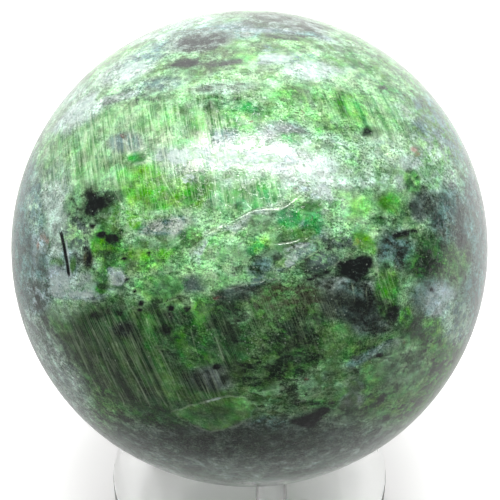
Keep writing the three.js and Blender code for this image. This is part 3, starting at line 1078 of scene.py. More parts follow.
SPOTS = {
    # Black grains
    Layer.CHAR: (
        Spot(outline(17, (83, 191), (92, 188), (99, 193), (113, 191), (116, 199), (112, 207), (102, 212),
             (95, 219), (84, 218), (79, 210), (83, 202)), 1.0),
        Spot(outline(13, (342, 262), (350, 258), (362, 254), (373, 256), (374, 266), (366, 276), (356, 283),
             (346, 278), (338, 274)), 1.25),
        blot(0.9, 344, 266, 10, 8, 10),
        Spot(Path(((309, 280), (318, 276), (328, 272)), 2.5, 5), 1.0),
        blot(0.55, 101, 211, 15, 10), blot(1.0, 102, 235, 6, 4), blot(0.95, 112, 239, 9, 6),
        blot(0.7, 121, 234, 4, 6), blot(1.0, 92, 226, 4, 3), blot(1.0, 85, 249, 3, 3),
        blot(1.1, 89, 260, 3, 7, -10), blot(1.1, 124, 259, 3.5, 2.5), blot(1.0, 149, 254, 3, 2.5),
        blot(1.1, 126, 280, 3, 2.5), blot(1.1, 135, 291, 2.5, 2.5), blot(1.1, 141, 303, 3.5, 3),
        blot(1.1, 140, 310, 3.5, 3), blot(1.1, 171, 308, 4.5, 4), blot(1.0, 187, 309, 5, 3.5),
        Spot(Path(((180, 42), (198, 43), (224, 40)), 3.5, 6), 0.75),
        Spot(Path(((172, 66), (190, 62), (203, 63)), 2.5, 5), 0.6),
        Spot(Path(((210, 65), (222, 64), (240, 61)), 3.5, 5), 0.85),
        Spot(Path(((224, 27), (262, 28), (300, 34)), 1.5, 4), 0.6),
        Spot(Path(((268, 36), (298, 40)), 2, 4), 0.6),
        Spot(Path(((100, 104), (122, 100), (140, 96)), 2.5, 5), 0.6),
        Spot(Path(((132, 84), (158, 80)), 1.5, 4), 0.6),
        Spot(Path(((142, 95), (160, 90)), 2.5, 5), 0.6),
        blot(0.45, 220, 103, 14, 4, 6), blot(0.5, 236, 98, 10, 3, 10), blot(0.85, 367, 132, 7, 6, 0, 1.2),
        blot(0.8, 381, 88, 5, 2.5), blot(0.8, 271, 70, 4, 1.5), blot(0.5, 337, 100, 4, 5),
        blot(0.65, 238, 206, 6, 7, -20), blot(0.7, 409, 171, 4, 4), blot(0.6, 423, 188, 7, 4),
        blot(0.7, 414, 207, 6, 6), blot(0.75, 437, 220, 9, 9, 0, 1.1), blot(0.6, 443, 246, 8, 8),
        blot(0.7, 431, 264, 13, 9, 0, 1.1),
        Spot(Path(((395, 236), (404, 233), (416, 231)), 3.5, 5), 0.95),
        blot(0.7, 402, 252, 6, 8), blot(0.8, 387, 266, 5, 4), blot(0.7, 382, 218, 6, 3),
        blot(0.7, 258, 260, 9, 6), blot(0.8, 277, 257, 7, 5), blot(0.65, 322, 268, 14, 6, 10),
        blot(0.55, 250, 291, 14, 4, 15), blot(0.6, 330, 296, 14, 8), blot(0.75, 365, 312, 30, 18, 0, 1.0),
        Spot(outline(5, (388, 303), (401, 306), (400, 317), (392, 324), (384, 318)), 0.9),
        blot(0.6, 380, 330, 14, 5, 10), blot(1.0, 432, 290, 3, 3), blot(0.8, 97, 316, 8, 5),
        blot(0.8, 119, 313, 5, 4), blot(0.6, 125, 330, 8, 7), blot(0.8, 166, 330, 7, 7, 0, 1.1),
        blot(0.6, 232, 330, 12, 22, 0, 1.1), blot(1.1, 217, 367, 5, 3.5, 10),
        blot(0.65, 240, 368, 16, 9, 0, 1.1), blot(0.7, 226, 378, 8, 4), blot(0.6, 292, 340, 24, 20, 0, 1.2),
        blot(0.9, 378, 356, 6, 3, 14),
        Spot(outline(6, (285, 422), (300, 417), (312, 412), (325, 405), (332, 411), (322, 418), (314, 428),
             (300, 428)), 1.0),
        blot(0.55, 152, 410, 26, 7, -10, 1.2), blot(0.5, 170, 428, 24, 6, -10, 1.2),
        blot(0.5, 245, 428, 14, 4, 0, 1.2),
        Spot(Path(((61, 233), (64, 246), (67, 262), (69, 275)), 1.6, 3), 1.3),
    ),
    # White grains, and painted highlight over the mirrored lamp
    Layer.MILK: (
        # Painted highlight: the spots at 180, 157, at 158, 158, at 188, 178 and at 306, 176, and the long one
        # at 240, 158, brighten and widen the mirrored lamp.
        blot(0.65, 180, 157, 14, 10), blot(0.5, 158, 158, 9, 5), blot(0.5, 188, 178, 8, 5),
        blot(0.4, 306, 176, 14, 5), blot(0.42, 310, 68, 42, 11, -4), blot(0.6, 275, 58, 22, 5),
        blot(0.6, 132, 68, 16, 6, 20), blot(0.55, 80, 110, 22, 9, 40), blot(0.6, 60, 285, 12, 14, -20),
        blot(0.6, 82, 294, 16, 5), blot(0.2, 104, 282, 10, 8),
        Spot(Path(((66, 240), (68, 256), (70, 274)), 1.0, 3), 0.9),
        blot(0.4, 338, 197, 10, 5, -18), blot(0.6, 326, 190, 8, 5, -30), blot(0.45, 300, 247, 20, 5, 12),
        blot(0.45, 290, 262, 12, 5, 30), blot(0.35, 440, 300, 14, 12), blot(0.5, 240, 158, 70, 9, -5),
        blot(0.8, 217, 137, 5, 3), blot(0.35, 405, 112, 9, 6, -30), blot(0.6, 213, 400, 9, 2, 14),
    ),
    # Pink and brown grains
    Layer.RUST: (
        blot(0.5, 300, 113, 8, 3), blot(0.6, 250, 122, 5, 2, 10), blot(0.45, 120, 136, 8, 5),
        blot(0.5, 312, 219, 4, 2.5), blot(0.5, 165, 243, 3, 2), blot(0.45, 217, 298, 7, 4, 10),
        blot(0.6, 172, 308, 4, 2.5), blot(0.5, 306, 379, 5, 3), blot(0.45, 404, 343, 4, 4),
        blot(0.5, 371, 361, 4, 2), blot(0.4, 459, 309, 4, 4), blot(0.4, 366, 328, 5, 3),
        blot(0.25, 290, 300, 24, 14), blot(0.3, 212, 378, 20, 8), blot(0.4, 290, 189, 12, 3, 10),
    ),
    # Where fine light and dark specks are thick
    Layer.SPECKLE: (
        blot(0.9, 127, 140, 20, 12), blot(0.9, 215, 140, 30, 10), blot(0.8, 285, 132, 26, 10),
        blot(0.8, 345, 160, 40, 26), blot(0.7, 160, 232, 40, 16), blot(0.8, 160, 262, 40, 16),
        blot(0.8, 225, 262, 30, 34), blot(0.8, 305, 215, 34, 18), blot(0.9, 195, 284, 18, 9),
        blot(0.7, 265, 345, 30, 30), blot(0.7, 300, 262, 50, 20), blot(-0.5, 230, 420, 200, 50),
    ),
    # Where the grains run in threads
    Layer.STEEP_FIBRE: (
        Spot(outline(26, (45, 150), (90, 112), (150, 100), (200, 104), (235, 118), (235, 150), (215, 200),
             (150, 214), (125, 200), (110, 185), (60, 188), (44, 180)), 1.0),
        blot(0.9, 240, 192, 56, 15), blot(0.4, 230, 92, 60, 10), blot(-0.6, 155, 192, 40, 16),
        blot(-0.9, 137, 158, 14, 9, 0, 0.5),
    ),
    Layer.LEANING_FIBRE: (
        Spot(outline(26, (60, 310), (130, 308), (225, 312), (240, 350), (225, 400), (175, 408), (120, 400),
             (70, 350)), 1.0),
        blot(-0.9, 190, 343, 28, 27, -20),
    ),
    Layer.RIGHT_FIBRE: (
        Spot(outline(22, (300, 86), (370, 90), (412, 110), (408, 145), (360, 132), (330, 120), (290, 112)),
             0.9),
        blot(0.7, 388, 292, 14, 30), blot(0.45, 300, 320, 60, 34),
    ),
}

VEINS = (
    vein(0.9, (204, 236), (222, 226), (240, 217), (255, 210), (270, 209), (285, 207), (300, 195)),
    vein(0.9, (275, 244), (290, 242), (305, 238)),
    vein(0.8, (163, 255), (172, 247), (182, 238)),
    vein(0.8, (186, 257), (191, 250), (198, 243)),
    vein(0.7, (197, 255), (201, 245), (205, 237)),
    vein(0.5, (135, 279), (150, 274), (172, 272)),
    vein(0.5, (160, 305), (170, 301), (178, 298)),
    vein(0.7, (225, 290), (250, 283), (280, 278)),
    vein(0.7, (300, 402), (315, 395), (330, 388), (354, 377)),
    vein(0.5, (253, 393), (268, 391), (285, 388)),
    vein(1.0, (174, 411), (190, 406), (207, 402), (227, 396), (243, 397), (256, 405)),
    vein(0.7, (174, 411), (182, 420), (194, 426), (209, 432), (224, 430), (238, 426), (251, 418)),
    vein(0.8, (112, 272), (120, 270), (126, 277), (120, 285), (111, 283)),
    vein(0.5, (60, 301), (80, 300), (100, 302)),
    vein(0.6, (44, 178), (45, 188), (44, 196)),
    vein(0.5, (226, 31), (262, 33), (300, 38)),
    vein(0.6, (280, 272), (285, 262), (292, 255)),
)

THREADS = (
    vein(0.9, (131, 119), (133, 131)),
    vein(0.9, (164, 112), (166, 122), (164, 142)),
    vein(0.7, (152, 130), (153, 147)),
    vein(0.6, (178, 105), (180, 126)),
    vein(0.6, (229, 114), (232, 127)),
    vein(0.9, (101, 125), (103, 147), (106, 163)),
    vein(0.8, (86, 132), (89, 160), (91, 173)),
    vein(0.6, (66, 139), (68, 156)),
    vein(0.7, (119, 155), (122, 166)),
    vein(0.9, (116, 194), (126, 213)),
    vein(0.9, (128, 191), (138, 211)),
    vein(0.9, (159, 170), (170, 191), (180, 209)),
    vein(0.8, (181, 179), (184, 198)),
    vein(0.6, (213, 172), (218, 198)),
    vein(0.9, (117, 345), (137, 380), (150, 406)),
    vein(0.7, (94, 331), (109, 370), (124, 403)),
    vein(0.6, (76, 342), (88, 370), (103, 400)),
    vein(0.5, (58, 356), (72, 385), (86, 403)),
    vein(0.6, (129, 335), (145, 365), (156, 390), (166, 405)),
    vein(0.7, (161, 352), (172, 377), (180, 400)),
    vein(1.0, (147, 321), (150, 335)),
    vein(0.5, (191, 330), (195, 347), (199, 360)),
    vein(0.7, (205, 380), (209, 394)),
    vein(0.9, (216, 338), (223, 358)),
    vein(0.8, (279, 262), (292, 253), (306, 244)),
    vein(0.9, (292, 268), (305, 259), (318, 251)),
    vein(0.8, (330, 269), (340, 261), (349, 256)),
    vein(0.7, (372, 252), (377, 264), (379, 282)),
    vein(0.7, (352, 284), (355, 300)),
    vein(0.6, (366, 290), (368, 308)),
)


@dataclass(frozen=True)
class FarSide:
    """The side of the ball that the photograph doesn't show, made up of the same rock.

    Attributes:
        seed: Which pattern.
        count: How many patches it has.
        largest: Half the width of its first patch, in pixels.
        smallest: Half the width of its last patch.
        pixels_a_radian: The scale of its flat map, in which a straight line from the middle keeps its length.
        middle: Where the map's middle is, in pixels from the left and from the top.
        crown_end: Where its light crown ends, in pixels from the top.
        foot_start: Where its dark foot starts.
        half_angle: How far from its middle it has marks, in degrees.
    """

    seed: int = 7
    count: int = 420
    largest: float = 44.0
    smallest: float = 9.68
    pixels_a_radian: float = 250.0
    middle: float = 250.0
    crown_end: float = -70.0
    foot_start: float = 70.0
    half_angle: float = 100.0

    def grounds(self) -> list[Ground]:
        """Makes its patches of mixed grains.

        Returns:
            The patches, the largest first.
        """
        crown = ((MINT, OLIVE), (MILK, SAGE), (ASH, SOOT), (MINT, SAGE),
                 (SAGE, FOREST), (LIME, GRASS), (ICE, SLATE))
        middle = ((MINT, GRASS), (LIME, CLOVER), (EMERALD, FOREST),
                  (OLIVE, PINE), (LILAC, STEEL), (MAUVE, SLATE), (SAGE, MOSS))
        foot = ((MOSS, PINE), (SLATE, CHAR), (OLIVE, BARK), (GRASS, FOREST),
                (CLOVER, PINE), (STEEL, SOOT), (MOSS, CHAR))
        chance = np.random.default_rng(self.seed)
        patches = []
        for index in range(self.count):
            x, y = self._place(chance)
            pairs = crown if y < self.crown_end else middle if y < self.foot_start else foot
            light, dark = pairs[chance.integers(len(pairs))]
            size = self.smallest + (self.largest - self.smallest) * (1.0 - index / self.count)
            size *= chance.uniform(0.7, 1.2)
            oval = Oval(x, y, size, size * chance.uniform(0.3, 0.65), chance.normal(0.0, 16.0))
            share = chance.uniform(0.3, 0.65)
            patches.append(Ground(oval, light, dark, share, chance.choice((0.0, 0.0, 0.6))))
        return [
            Ground(Oval(self.middle, self.middle, 900, 900, 0, 0.9), MINT, OLIVE, 0.45),
            Ground(Oval(self.middle, self.foot_start + 560, 900, 480, -8, 0.15), MOSS, PINE, 0.55),
            *patches,
        ]

    def spread(self, points: np.ndarray, view: PhotoView) -> tuple[np.ndarray, np.ndarray]:
        """Lays the ball's points out on the flat map.

        Args:
            points: Unit vectors from the ball's centre, one a row.
            view: The photograph's camera, which the map's middle is turned away from.

        Returns:
            The points' pixels from the left and from the top.
        """
        right = -(points @ np.array(view.right))
        up = points @ np.array(view.up)
        angle = np.arccos(np.clip(-(points @ np.array(view.towards)), -1.0, 1.0))
        reach = self.pixels_a_radian * angle / np.maximum(np.hypot(right, up), 1e-9)
        return self.middle + reach * right, self.middle - reach * up

    def spots(self) -> dict[Layer, list[Spot]]:
        """Makes its grains and fibres.

        Returns:
            Each layer's spots.
        """
        chance = np.random.default_rng(self.seed + 1)
        spots = {layer: [] for layer in Layer}
        kinds = ((Layer.CHAR, 110, 9.0, 1.0), (Layer.MILK, 60, 15.0, 0.55), (Layer.RUST, 30, 5.0, 0.7),
                 (Layer.SPECKLE, 34, 26.0, 1.0), (Layer.STEEP_FIBRE, 11, 52.0, 1.0),
                 (Layer.LEANING_FIBRE, 11, 48.0, 1.0), (Layer.RIGHT_FIBRE, 7, 40.0, 1.0))
        for layer, count, size, most in kinds:
            for _ in range(count):
                x, y = self._place(chance)
                wide = size * chance.uniform(0.5, 1.5)
                oval = Oval(x, y, wide, wide * chance.uniform(0.35, 0.9), chance.normal(0.0, 20.0), 1.0)
                spots[layer].append(Spot(oval, most * chance.uniform(0.6, 1.0)))
        return spots

    def _place(self, chance: np.random.Generator) -> tuple[float, float]:
        """Picks a pixel of the map's half that the photograph doesn't show, or a little beyond.

        Args:
            chance: Where the random numbers come from.

        Returns:
            Its pixels from the left and from the top.
        """
        reach = self.pixels_a_radian * math.radians(self.half_angle) * math.sqrt(chance.uniform(0.0, 1.0))
        angle = chance.uniform(0.0, 2 * math.pi)
        return self.middle + reach * math.cos(angle), self.middle + reach * math.sin(angle)


def write_points(mesh: bpy.types.Mesh, name: str, values: np.ndarray) -> None:
    """Writes an attribute of a mesh's points.

    Args:
        mesh: The mesh.
        name: The attribute's name.
        values: A number or a colour for each point.
    """
    if values.ndim == 2:
        colours = np.concatenate((values, np.ones((len(values), 1))), axis=1)
        mesh.attributes.new(name, "FLOAT_COLOR", "POINT").data.foreach_set("color", colours.ravel())
    else:
        mesh.attributes.new(name, "FLOAT", "POINT").data.foreach_set("value", values)


@dataclass(frozen=True)
class MineralMap:
    """Writes the rock's pattern on the ball's points, where the finish reads it.

    Attributes:
        view: The photograph's camera.
        far_side: The pattern of the unseen side.
        fade_start: The cosine, just beyond the ball's outline in the photograph, at which its marks are gone.
        fade_end: The cosine at which they are whole.
        vein_reach: How far from a vein its offset is kept, in pixels.
        vein_rim: How wide the rim is in which the vein fades out there.
    """

    view: PhotoView
    far_side: FarSide
    fade_start: float = -0.04
    fade_end: float = 0.20
    vein_reach: float = 5.0
    vein_rim: float = 2.0

    def write(self, mesh: bpy.types.Mesh) -> None:
        """Writes the pattern as attributes.

        Args:
            mesh: The ball's mesh, about the ball's centre.
        """
        places = np.empty(len(mesh.vertices) * 3)
        mesh.vertices.foreach_get("co", places)
        points = places.reshape(-1, 3) - np.array(self.view.ball_centre)
        points /= np.linalg.norm(points, axis=1)[:, None]
        x, y, facing = self.view.project(points)
        near = self._lay(x, y, GROUNDS + CRYSTALS, SPOTS)
        x_far, y_far = self.far_side.spread(points, self.view)
        far = self._lay(x_far, y_far, self.far_side.grounds(), self.far_side.spots())
        share = soft_step((facing - self.fade_start) / (self.fade_end - self.fade_start))
        for name, values in near.items():
            weight = share[:, None] if values.ndim == 2 else share
            write_points(mesh, name, values * weight + far[name] * (1.0 - weight))
        for name, veins in (("vein", VEINS), ("thread", THREADS)):
            offset, strength = self._veins(x, y, veins)
            write_points(mesh, name + "_offset", offset)
            write_points(mesh, name + "_strength", strength * share)

    def _lay(self, x: np.ndarray, y: np.ndarray, grounds: Iterable[Ground],
             spots: dict[Layer, Iterable[Spot]]) -> dict[str, np.ndarray]:
        """Lays patches over each other in their order, then the layers' spots.

        Args:
            x: The points' pixels from the left.
            y: The points' pixels from the top.
            grounds: The patches.
            spots: Each layer's spots.

        Returns:
            The light and dark colours, the dark grains' share, the clearness and each layer, by name.
        """
        light = np.zeros((len(x), 3))
        dark = np.zeros((len(x), 3))
        share = np.full(len(x), 0.5)
        clear = np.zeros(len(x))
        for ground in grounds:
            cover = ground.shape.cover(x, y)
            light += (np.array(ground.light.value) - light) * cover[:, None]
            dark += (np.array(ground.dark.value) - dark) * cover[:, None]
            share += (ground.share - share) * cover
            clear += (ground.clear - clear) * cover
        values = {"light_grain": light, "dark_grain": dark, "dark_share": share, "clear": clear}
        for layer in Layer:
            total = np.zeros(len(x))
            for spot in spots[layer]:
                cover = spot.shape.cover(x, y) * spot.strength
                total = np.maximum(total, cover) if spot.strength > 0.0 else total + cover
            values[layer.value] = total
        return values

    def _veins(self, x: np.ndarray, y: np.ndarray, veins: tuple[Vein, ...]) -> tuple[np.ndarray, np.ndarray]:
        """Finds the nearest vein to each point.

        Args:
            x: The points' pixels from the left.
            y: The points' pixels from the top.
            veins: The veins.

        Returns:
            The offset from it in pixels, negative on one side, and how strong it is there.
        """
        nearest = np.full(len(x), np.inf)
        offset = np.full(len(x), self.vein_reach)
        strength = np.zeros(len(x))
        for vein in veins:
            distance, side = vein.path.offset(x, y)
            closer = distance < nearest
            nearest = np.where(closer, distance, nearest)
            offset = np.where(closer, side * np.minimum(distance, self.vein_reach), offset)
            inside = soft_step((self.vein_reach - distance) / self.vein_rim)
            strength = np.where(closer, vein.strength * inside, strength)
        return offset, strength


@dataclass(frozen=True)
class Fibre:
    """A bundle of threads that run one way through the rock.

    Attributes:
        layer: Where it is.
        turn: How far the threads' top ends lean to the left, in degrees.
        scale: How many noise cells stand side by side in one radius of the ball.
        seed: Which noise.
        strength: How light the threads are.
        gap: How dark the rock between them is.
        stretch: The noise's scale across the threads, along them and inwards.
    """

    layer: Layer
    turn: float
    scale: float
    seed: float
    strength: float = 0.9
    gap: float = 0.9
    stretch: tuple[float, float, float] = (1.0, 0.05, 0.06)


@dataclass(frozen=True)
class DiopsideFinish:
    """Polished chrome diopside rock: green and white grains, threads, black grains and veins, with some
    painted highlight.

    Attributes:
        view: The photograph's camera, which the pattern's bands and threads are turned to.
        fibres: The bundles of threads.
        ior: The stone's refractive index.
        polish: The roughness of its smooth grains.
        dull: How much rougher its soft grains are.
        edge: How soft the border between light and dark grains is.
        relief: How strongly its soft grains are ground down, in metres.
        crystals: How many crystals stand side by side in one radius of the ball.
        unevenness: How far their borders wander, in radii of the ball.
    """

    view: PhotoView
    fibres: tuple[Fibre, ...] = (
        Fibre(Layer.STEEP_FIBRE, 10.0, 80.0, 21.0, 1.1, 0.62),
        Fibre(Layer.LEANING_FIBRE, 24.0, 80.0, 22.0, 0.42, 0.42),
        Fibre(Layer.RIGHT_FIBRE, 20.0, 85.0, 23.0, 0.55, 0.55),
    )
    ior: float = 1.68
    polish: float = 0.055
    dull: float = 0.20
    edge: float = 0.11
    relief: float = 0.00004
    crystals: float = 22.0
    unevenness: float = 0.07

    def make(self) -> bpy.types.Material:
        """Makes the material.

        Returns:
            The material.
        """
        material, graph, shader = new_material("polished_diopside_rock")
        place = self._place(graph)
        streaky = self._stretched(graph, place, -12.0, (0.75, 1.35, 1.0))
        fine = graph.noise(streaky, 62.0, 3.0, 0.7, 3.0)
        grit = graph.noise(place, 150.0, 2.0, 0.6, 4.0)
        crystal = self._crystals(graph, place)
        colour = self._grains(graph, place, crystal)
        colour = self._tinted(graph, place, colour, crystal, fine, grit)
        colour = self._threads(graph, place, colour)
        colour, milk_and_highlight = self._patches(graph, place, colour, fine)
        colour = self._specks(graph, place, colour)
        colour, line = self._veins(graph, place, colour)
        soft = graph.ramp(graph.noise(place, 46.0, 4.0, 0.65, 9.0), 0.52, 0.66)
        soft = graph.math("MAXIMUM", soft, milk_and_highlight)
        rough = graph.scaled(soft, self.dull, self.polish)
        height = graph.scaled(soft, -0.5, graph.times(grit, 0.6))
        height = graph.math("SUBTRACT", height, line)
        bump = graph.node("ShaderNodeBump", {"Strength": 1.0, "Distance": self.relief, "Height": height})
        graph.fill(shader, {"Base Color": colour, "Roughness": rough, "IOR": self.ior,
                            "Normal": bump.outputs[0]})
        return material

    def _place(self, graph: Graph) -> bpy.types.NodeSocket:
        """The place on the ball in its radii, turned so that Y is the photograph's up and Z is towards it.

        Args:
            graph: The material's graph.

        Returns:
            The place.
        """
        angle = math.radians(self.view.elevation - 90.0)
        lift = self.view.ball_centre.z / self.view.ball_radius
        return graph.node("ShaderNodeMapping", {
            "Vector": graph.node("ShaderNodeTexCoord").outputs["Object"],
            "Location": (0.0, lift * math.sin(angle), -lift * math.cos(angle)),
            "Rotation": (angle, 0.0, 0.0),
            "Scale": (1.0 / self.view.ball_radius,) * 3,
        }).outputs[0]

    def _stretched(self, graph: Graph, place: object, turn: float,
                   scale: tuple[float, float, float]) -> bpy.types.NodeSocket:
        """Turns the place about the line of sight, then stretches it.

        Args:
            graph: The material's graph.
            place: The place.
            turn: The turn to the left in degrees.
            scale: The scale along each turned axis.

        Returns:
            The new place.
        """
        angles = (0.0, 0.0, -math.radians(turn))
        turned = graph.node("ShaderNodeMapping", {"Vector": place, "Rotation": angles})
        return graph.node("ShaderNodeMapping", {"Vector": turned.outputs[0], "Scale": scale}).outputs[0]

    def _crystals(self, graph: Graph, place: object) -> list[bpy.types.NodeSocket]:
        """Divides the rock into crystals with uneven borders.

        Args:
            graph: The material's graph.
            place: The place.

        Returns:
            Three numbers that each crystal has of its own.
        """
        warp = graph.node("ShaderNodeTexNoise", {"Vector": place, "Scale": self.crystals, "Detail": 3.0})
        shift = graph.vector("SUBTRACT", warp.outputs["Color"], (0.5, 0.5, 0.5))
        shift = graph.vector("SCALE", shift, self.unevenness)
        uneven = self._stretched(graph, graph.vector("ADD", place, shift), -14.0, (1.0, 1.5, 1.0))
        cells = graph.node("ShaderNodeTexVoronoi", {"Vector": uneven, "Scale": self.crystals})
        return list(graph.node("ShaderNodeSeparateColor", {0: cells.outputs["Color"]}).outputs)

    def _grains(self, graph: Graph, place: object,
                crystal: list[bpy.types.NodeSocket]) -> bpy.types.NodeSocket:
        """Mixes the light and dark grains.

        Args:
            graph: The material's graph.
            place: The place.
            crystal: Each crystal's own numbers.

        Returns:
            The colour.
        """
        banded = self._stretched(graph, place, -6.0, (1.0, 1.7, 1.0))
        coarse = graph.noise(banded, 17.0, 3.0, 0.66, 1.0, 2.1, 0.3)
        coarse = graph.scaled(graph.math("SUBTRACT", crystal[0], 0.5), 0.16, coarse)
        for fibre in self.fibres:
            along = self._stretched(graph, place, fibre.turn, fibre.stretch)
            sheaf = graph.noise(along, 0.3 * fibre.scale, 3.0, 0.66, fibre.seed + 0.5)
            where = graph.times(graph.attribute(fibre.layer.value), 0.85)
            coarse = graph.scaled(graph.math("SUBTRACT", sheaf, coarse), where, coarse)
        limit = graph.scaled(graph.attribute("dark_share"), -0.34, 0.67)
        over = graph.math("SUBTRACT", coarse, limit)
        mask = graph.ramp(over, -self.edge, self.edge)
        even = graph.ramp(over, -4.0 * self.edge, 4.0 * self.edge)
        mask = graph.scaled(graph.math("SUBTRACT", even, mask), graph.attribute("clear"), mask)
        light = graph.node("ShaderNodeAttribute", attribute_name="light_grain").outputs["Color"]
        dark = graph.node("ShaderNodeAttribute", attribute_name="dark_grain").outputs["Color"]
        return graph.mix(mask, light, dark)

    def _tinted(self, graph: Graph, place: object, colour: object, crystal: list[bpy.types.NodeSocket],
                fine: object, grit: object) -> bpy.types.NodeSocket:
        """Varies the grains' brightness and hue.

        Args:
            graph: The material's graph.
            place: The place.
            colour: The grains' colour.
            crystal: Each crystal's own numbers.
            fine: A fine noise.
            grit: A finer one.

        Returns:
            The colour.
        """
        hue = graph.scaled(crystal[1], 0.25, graph.noise(place, 24.0, 1.0, 0.5, 6.0))
        hue = graph.ramp(hue, 0.4, 0.85, 0.485, 0.524, smooth=False)
        depth = graph.ramp(graph.noise(place, 22.0, 1.0, 0.5, 7.0), 0.3, 0.7, 0.85, 1.2, smooth=False)
        cloud = graph.ramp(graph.noise(place, 15.0, 4.0, 0.6, 25.0), 0.34, 0.66, 0.65, 1.41)
        bright = graph.times(cloud, graph.scaled(crystal[2], 0.5, 0.76))
        tint = {"Hue": hue, "Saturation": depth, "Value": bright, "Color": colour}
        colour = graph.node("ShaderNodeHueSaturation", tint).outputs[0]
        even = graph.math("MAXIMUM", graph.attribute(Layer.STEEP_FIBRE.value),
                          graph.attribute(Layer.LEANING_FIBRE.value))
        busy = graph.ramp(graph.noise(place, 9.0, 3.0, 0.6, 11.0), 0.36, 0.60, 0.5, 1.2)
        even = graph.math("MAXIMUM", even, graph.attribute("clear"))
        busy = graph.times(busy, graph.scaled(even, -0.5, 1.0))
        shade = graph.math("MAXIMUM", graph.ramp(fine, 0.50, 0.34), graph.ramp(grit, 0.48, 0.33))
        colour = graph.mix(graph.times(shade, busy), colour, (0.22, 0.38, 0.22), "MULTIPLY")
        light = graph.math("MAXIMUM", graph.ramp(fine, 0.52, 0.68), graph.ramp(grit, 0.53, 0.67))
        pale = graph.mix(1.0, graph.mix(1.0, colour, (1.6, 1.45, 1.5), "MULTIPLY"), (0.07, 0.10, 0.06), "ADD")
        return graph.mix(graph.times(light, busy), colour, pale)

    def _ridge(self, graph: Graph, noise: object, width: float) -> bpy.types.NodeSocket:
        """Draws a line where a noise passes through its middle, with its width in the noise's value."""
        return graph.ramp(graph.math("ABSOLUTE", graph.math("SUBTRACT", noise, 0.5)), width, 0.0)

    def _threads(self, graph: Graph, place: object, colour: object) -> bpy.types.NodeSocket:
        """Draws the bundles of threads.

        Args:
            graph: The material's graph.
            place: The place.
            colour: The colour under them.

        Returns:
            The colour.
        """
        bundle = graph.ramp(graph.noise(place, 11.0, 3.0, 0.6, 12.0), 0.36, 0.62, 0.45, 1.1)
        for fibre in self.fibres:
            along = self._stretched(graph, place, fibre.turn, fibre.stretch)
            thread = graph.noise(along, fibre.scale, 1.0, 0.5, fibre.seed)
            where = graph.times(graph.attribute(fibre.layer.value), bundle)
            gap = graph.times(graph.ramp(thread, 0.49, 0.37), where)
            gap = graph.times(gap, fibre.gap)
            colour = graph.mix(gap, colour, (0.26, 0.50, 0.22), "MULTIPLY")
            crossed = graph.noise(along, 0.55 * fibre.scale, 1.0, 0.5, fibre.seed + 0.7)
            bright = self._ridge(graph, thread, 0.05)
            bright = graph.times(graph.math("MAXIMUM", bright, self._ridge(graph, crossed, 0.035)), where)
            pale = graph.mix(0.5, graph.mix(1.0, colour, (1.6, 1.4, 1.6), "MULTIPLY"), (0.56, 0.76, 0.46))
            colour = graph.mix(graph.times(bright, fibre.strength), colour, pale)
        single = graph.ramp(graph.math("ABSOLUTE", graph.attribute("thread_offset")), 1.3, 0.1)
        single = graph.times(single, graph.attribute("thread_strength"))
        broken = graph.ramp(graph.noise(place, 30.0, 2.0, 0.5, 19.0), 0.35, 0.6, 0.3, 0.9)
        single = graph.times(single, broken)
        pale = graph.mix(0.4, graph.mix(1.0, colour, (2.0, 1.7, 2.0), "MULTIPLY"), (0.50, 0.66, 0.42))
        return graph.mix(single, colour, pale)

    def _patches(self, graph: Graph, place: object, colour: object,
                 fine: object) -> tuple[bpy.types.NodeSocket, bpy.types.NodeSocket]:
        """Lays the white grains, with some painted highlight, and the brown and black grains.

        Args:
            graph: The material's graph.
            place: The place.
            colour: The colour under them.
            fine: A fine noise.

        Returns:
            The colour, and where the white grains and the painted highlight are.
        """
        banded = self._stretched(graph, place, -8.0, (1.0, 1.6, 1.0))
        ragged = graph.noise(banded, 34.0, 6.0, 0.68, 14.0)
        milk_and_highlight = graph.scaled(ragged, 1.6, graph.attribute(Layer.MILK.value))
        milk_and_highlight = graph.ramp(milk_and_highlight, 1.12, 1.42)
        pale = graph.mix(graph.ramp(fine, 0.35, 0.65), (0.40, 0.56, 0.52), (0.68, 0.80, 0.74))
        colour = graph.mix(graph.times(milk_and_highlight, 0.8), colour, pale)
        rusty = graph.noise(place, 52.0, 4.0, 0.65, 15.0)
        rust = graph.scaled(rusty, 1.2, graph.attribute(Layer.RUST.value))
        rust = graph.ramp(rust, 1.0, 1.16)
        brown = graph.mix(graph.ramp(fine, 0.4, 0.7), (0.10, 0.04, 0.03), (0.42, 0.28, 0.24))
        colour = graph.mix(graph.times(rust, 0.8), colour, brown)
        burnt = graph.noise(banded, 26.0, 8.0, 0.72, 16.0)
        char = graph.scaled(burnt, 1.1, graph.attribute(Layer.CHAR.value))
        char = graph.ramp(char, 0.82, 1.55)
        black = graph.mix(graph.ramp(fine, 0.5, 0.72), (0.006, 0.009, 0.008), (0.04, 0.06, 0.05))
        return graph.mix(char, colour, black), milk_and_highlight

    def _specks(self, graph: Graph, place: object, colour: object) -> bpy.types.NodeSocket:
        """Scatters tiny white and black crystals.

        Args:
            graph: The material's graph.
            place: The place.
            colour: The colour under them.

        Returns:
            The colour.
        """
        cells = graph.node("ShaderNodeTexVoronoi", {"Vector": place, "Scale": 120.0})
        pick = graph.node("ShaderNodeSeparateColor", {0: cells.outputs["Color"]})
        thick = graph.scaled(graph.attribute(Layer.SPECKLE.value), 0.12, 0.02)
        near = graph.ramp(cells.outputs["Distance"], 0.5, 0.1)
        white = graph.times(graph.math("LESS_THAN", pick.outputs[0], thick), near)
        black = graph.times(graph.math("LESS_THAN", pick.outputs[1], thick), near)
        colour = graph.mix(graph.times(black, 0.75), colour, (0.012, 0.02, 0.014))
        return graph.mix(graph.times(white, 0.4), colour, (0.70, 0.85, 0.68))

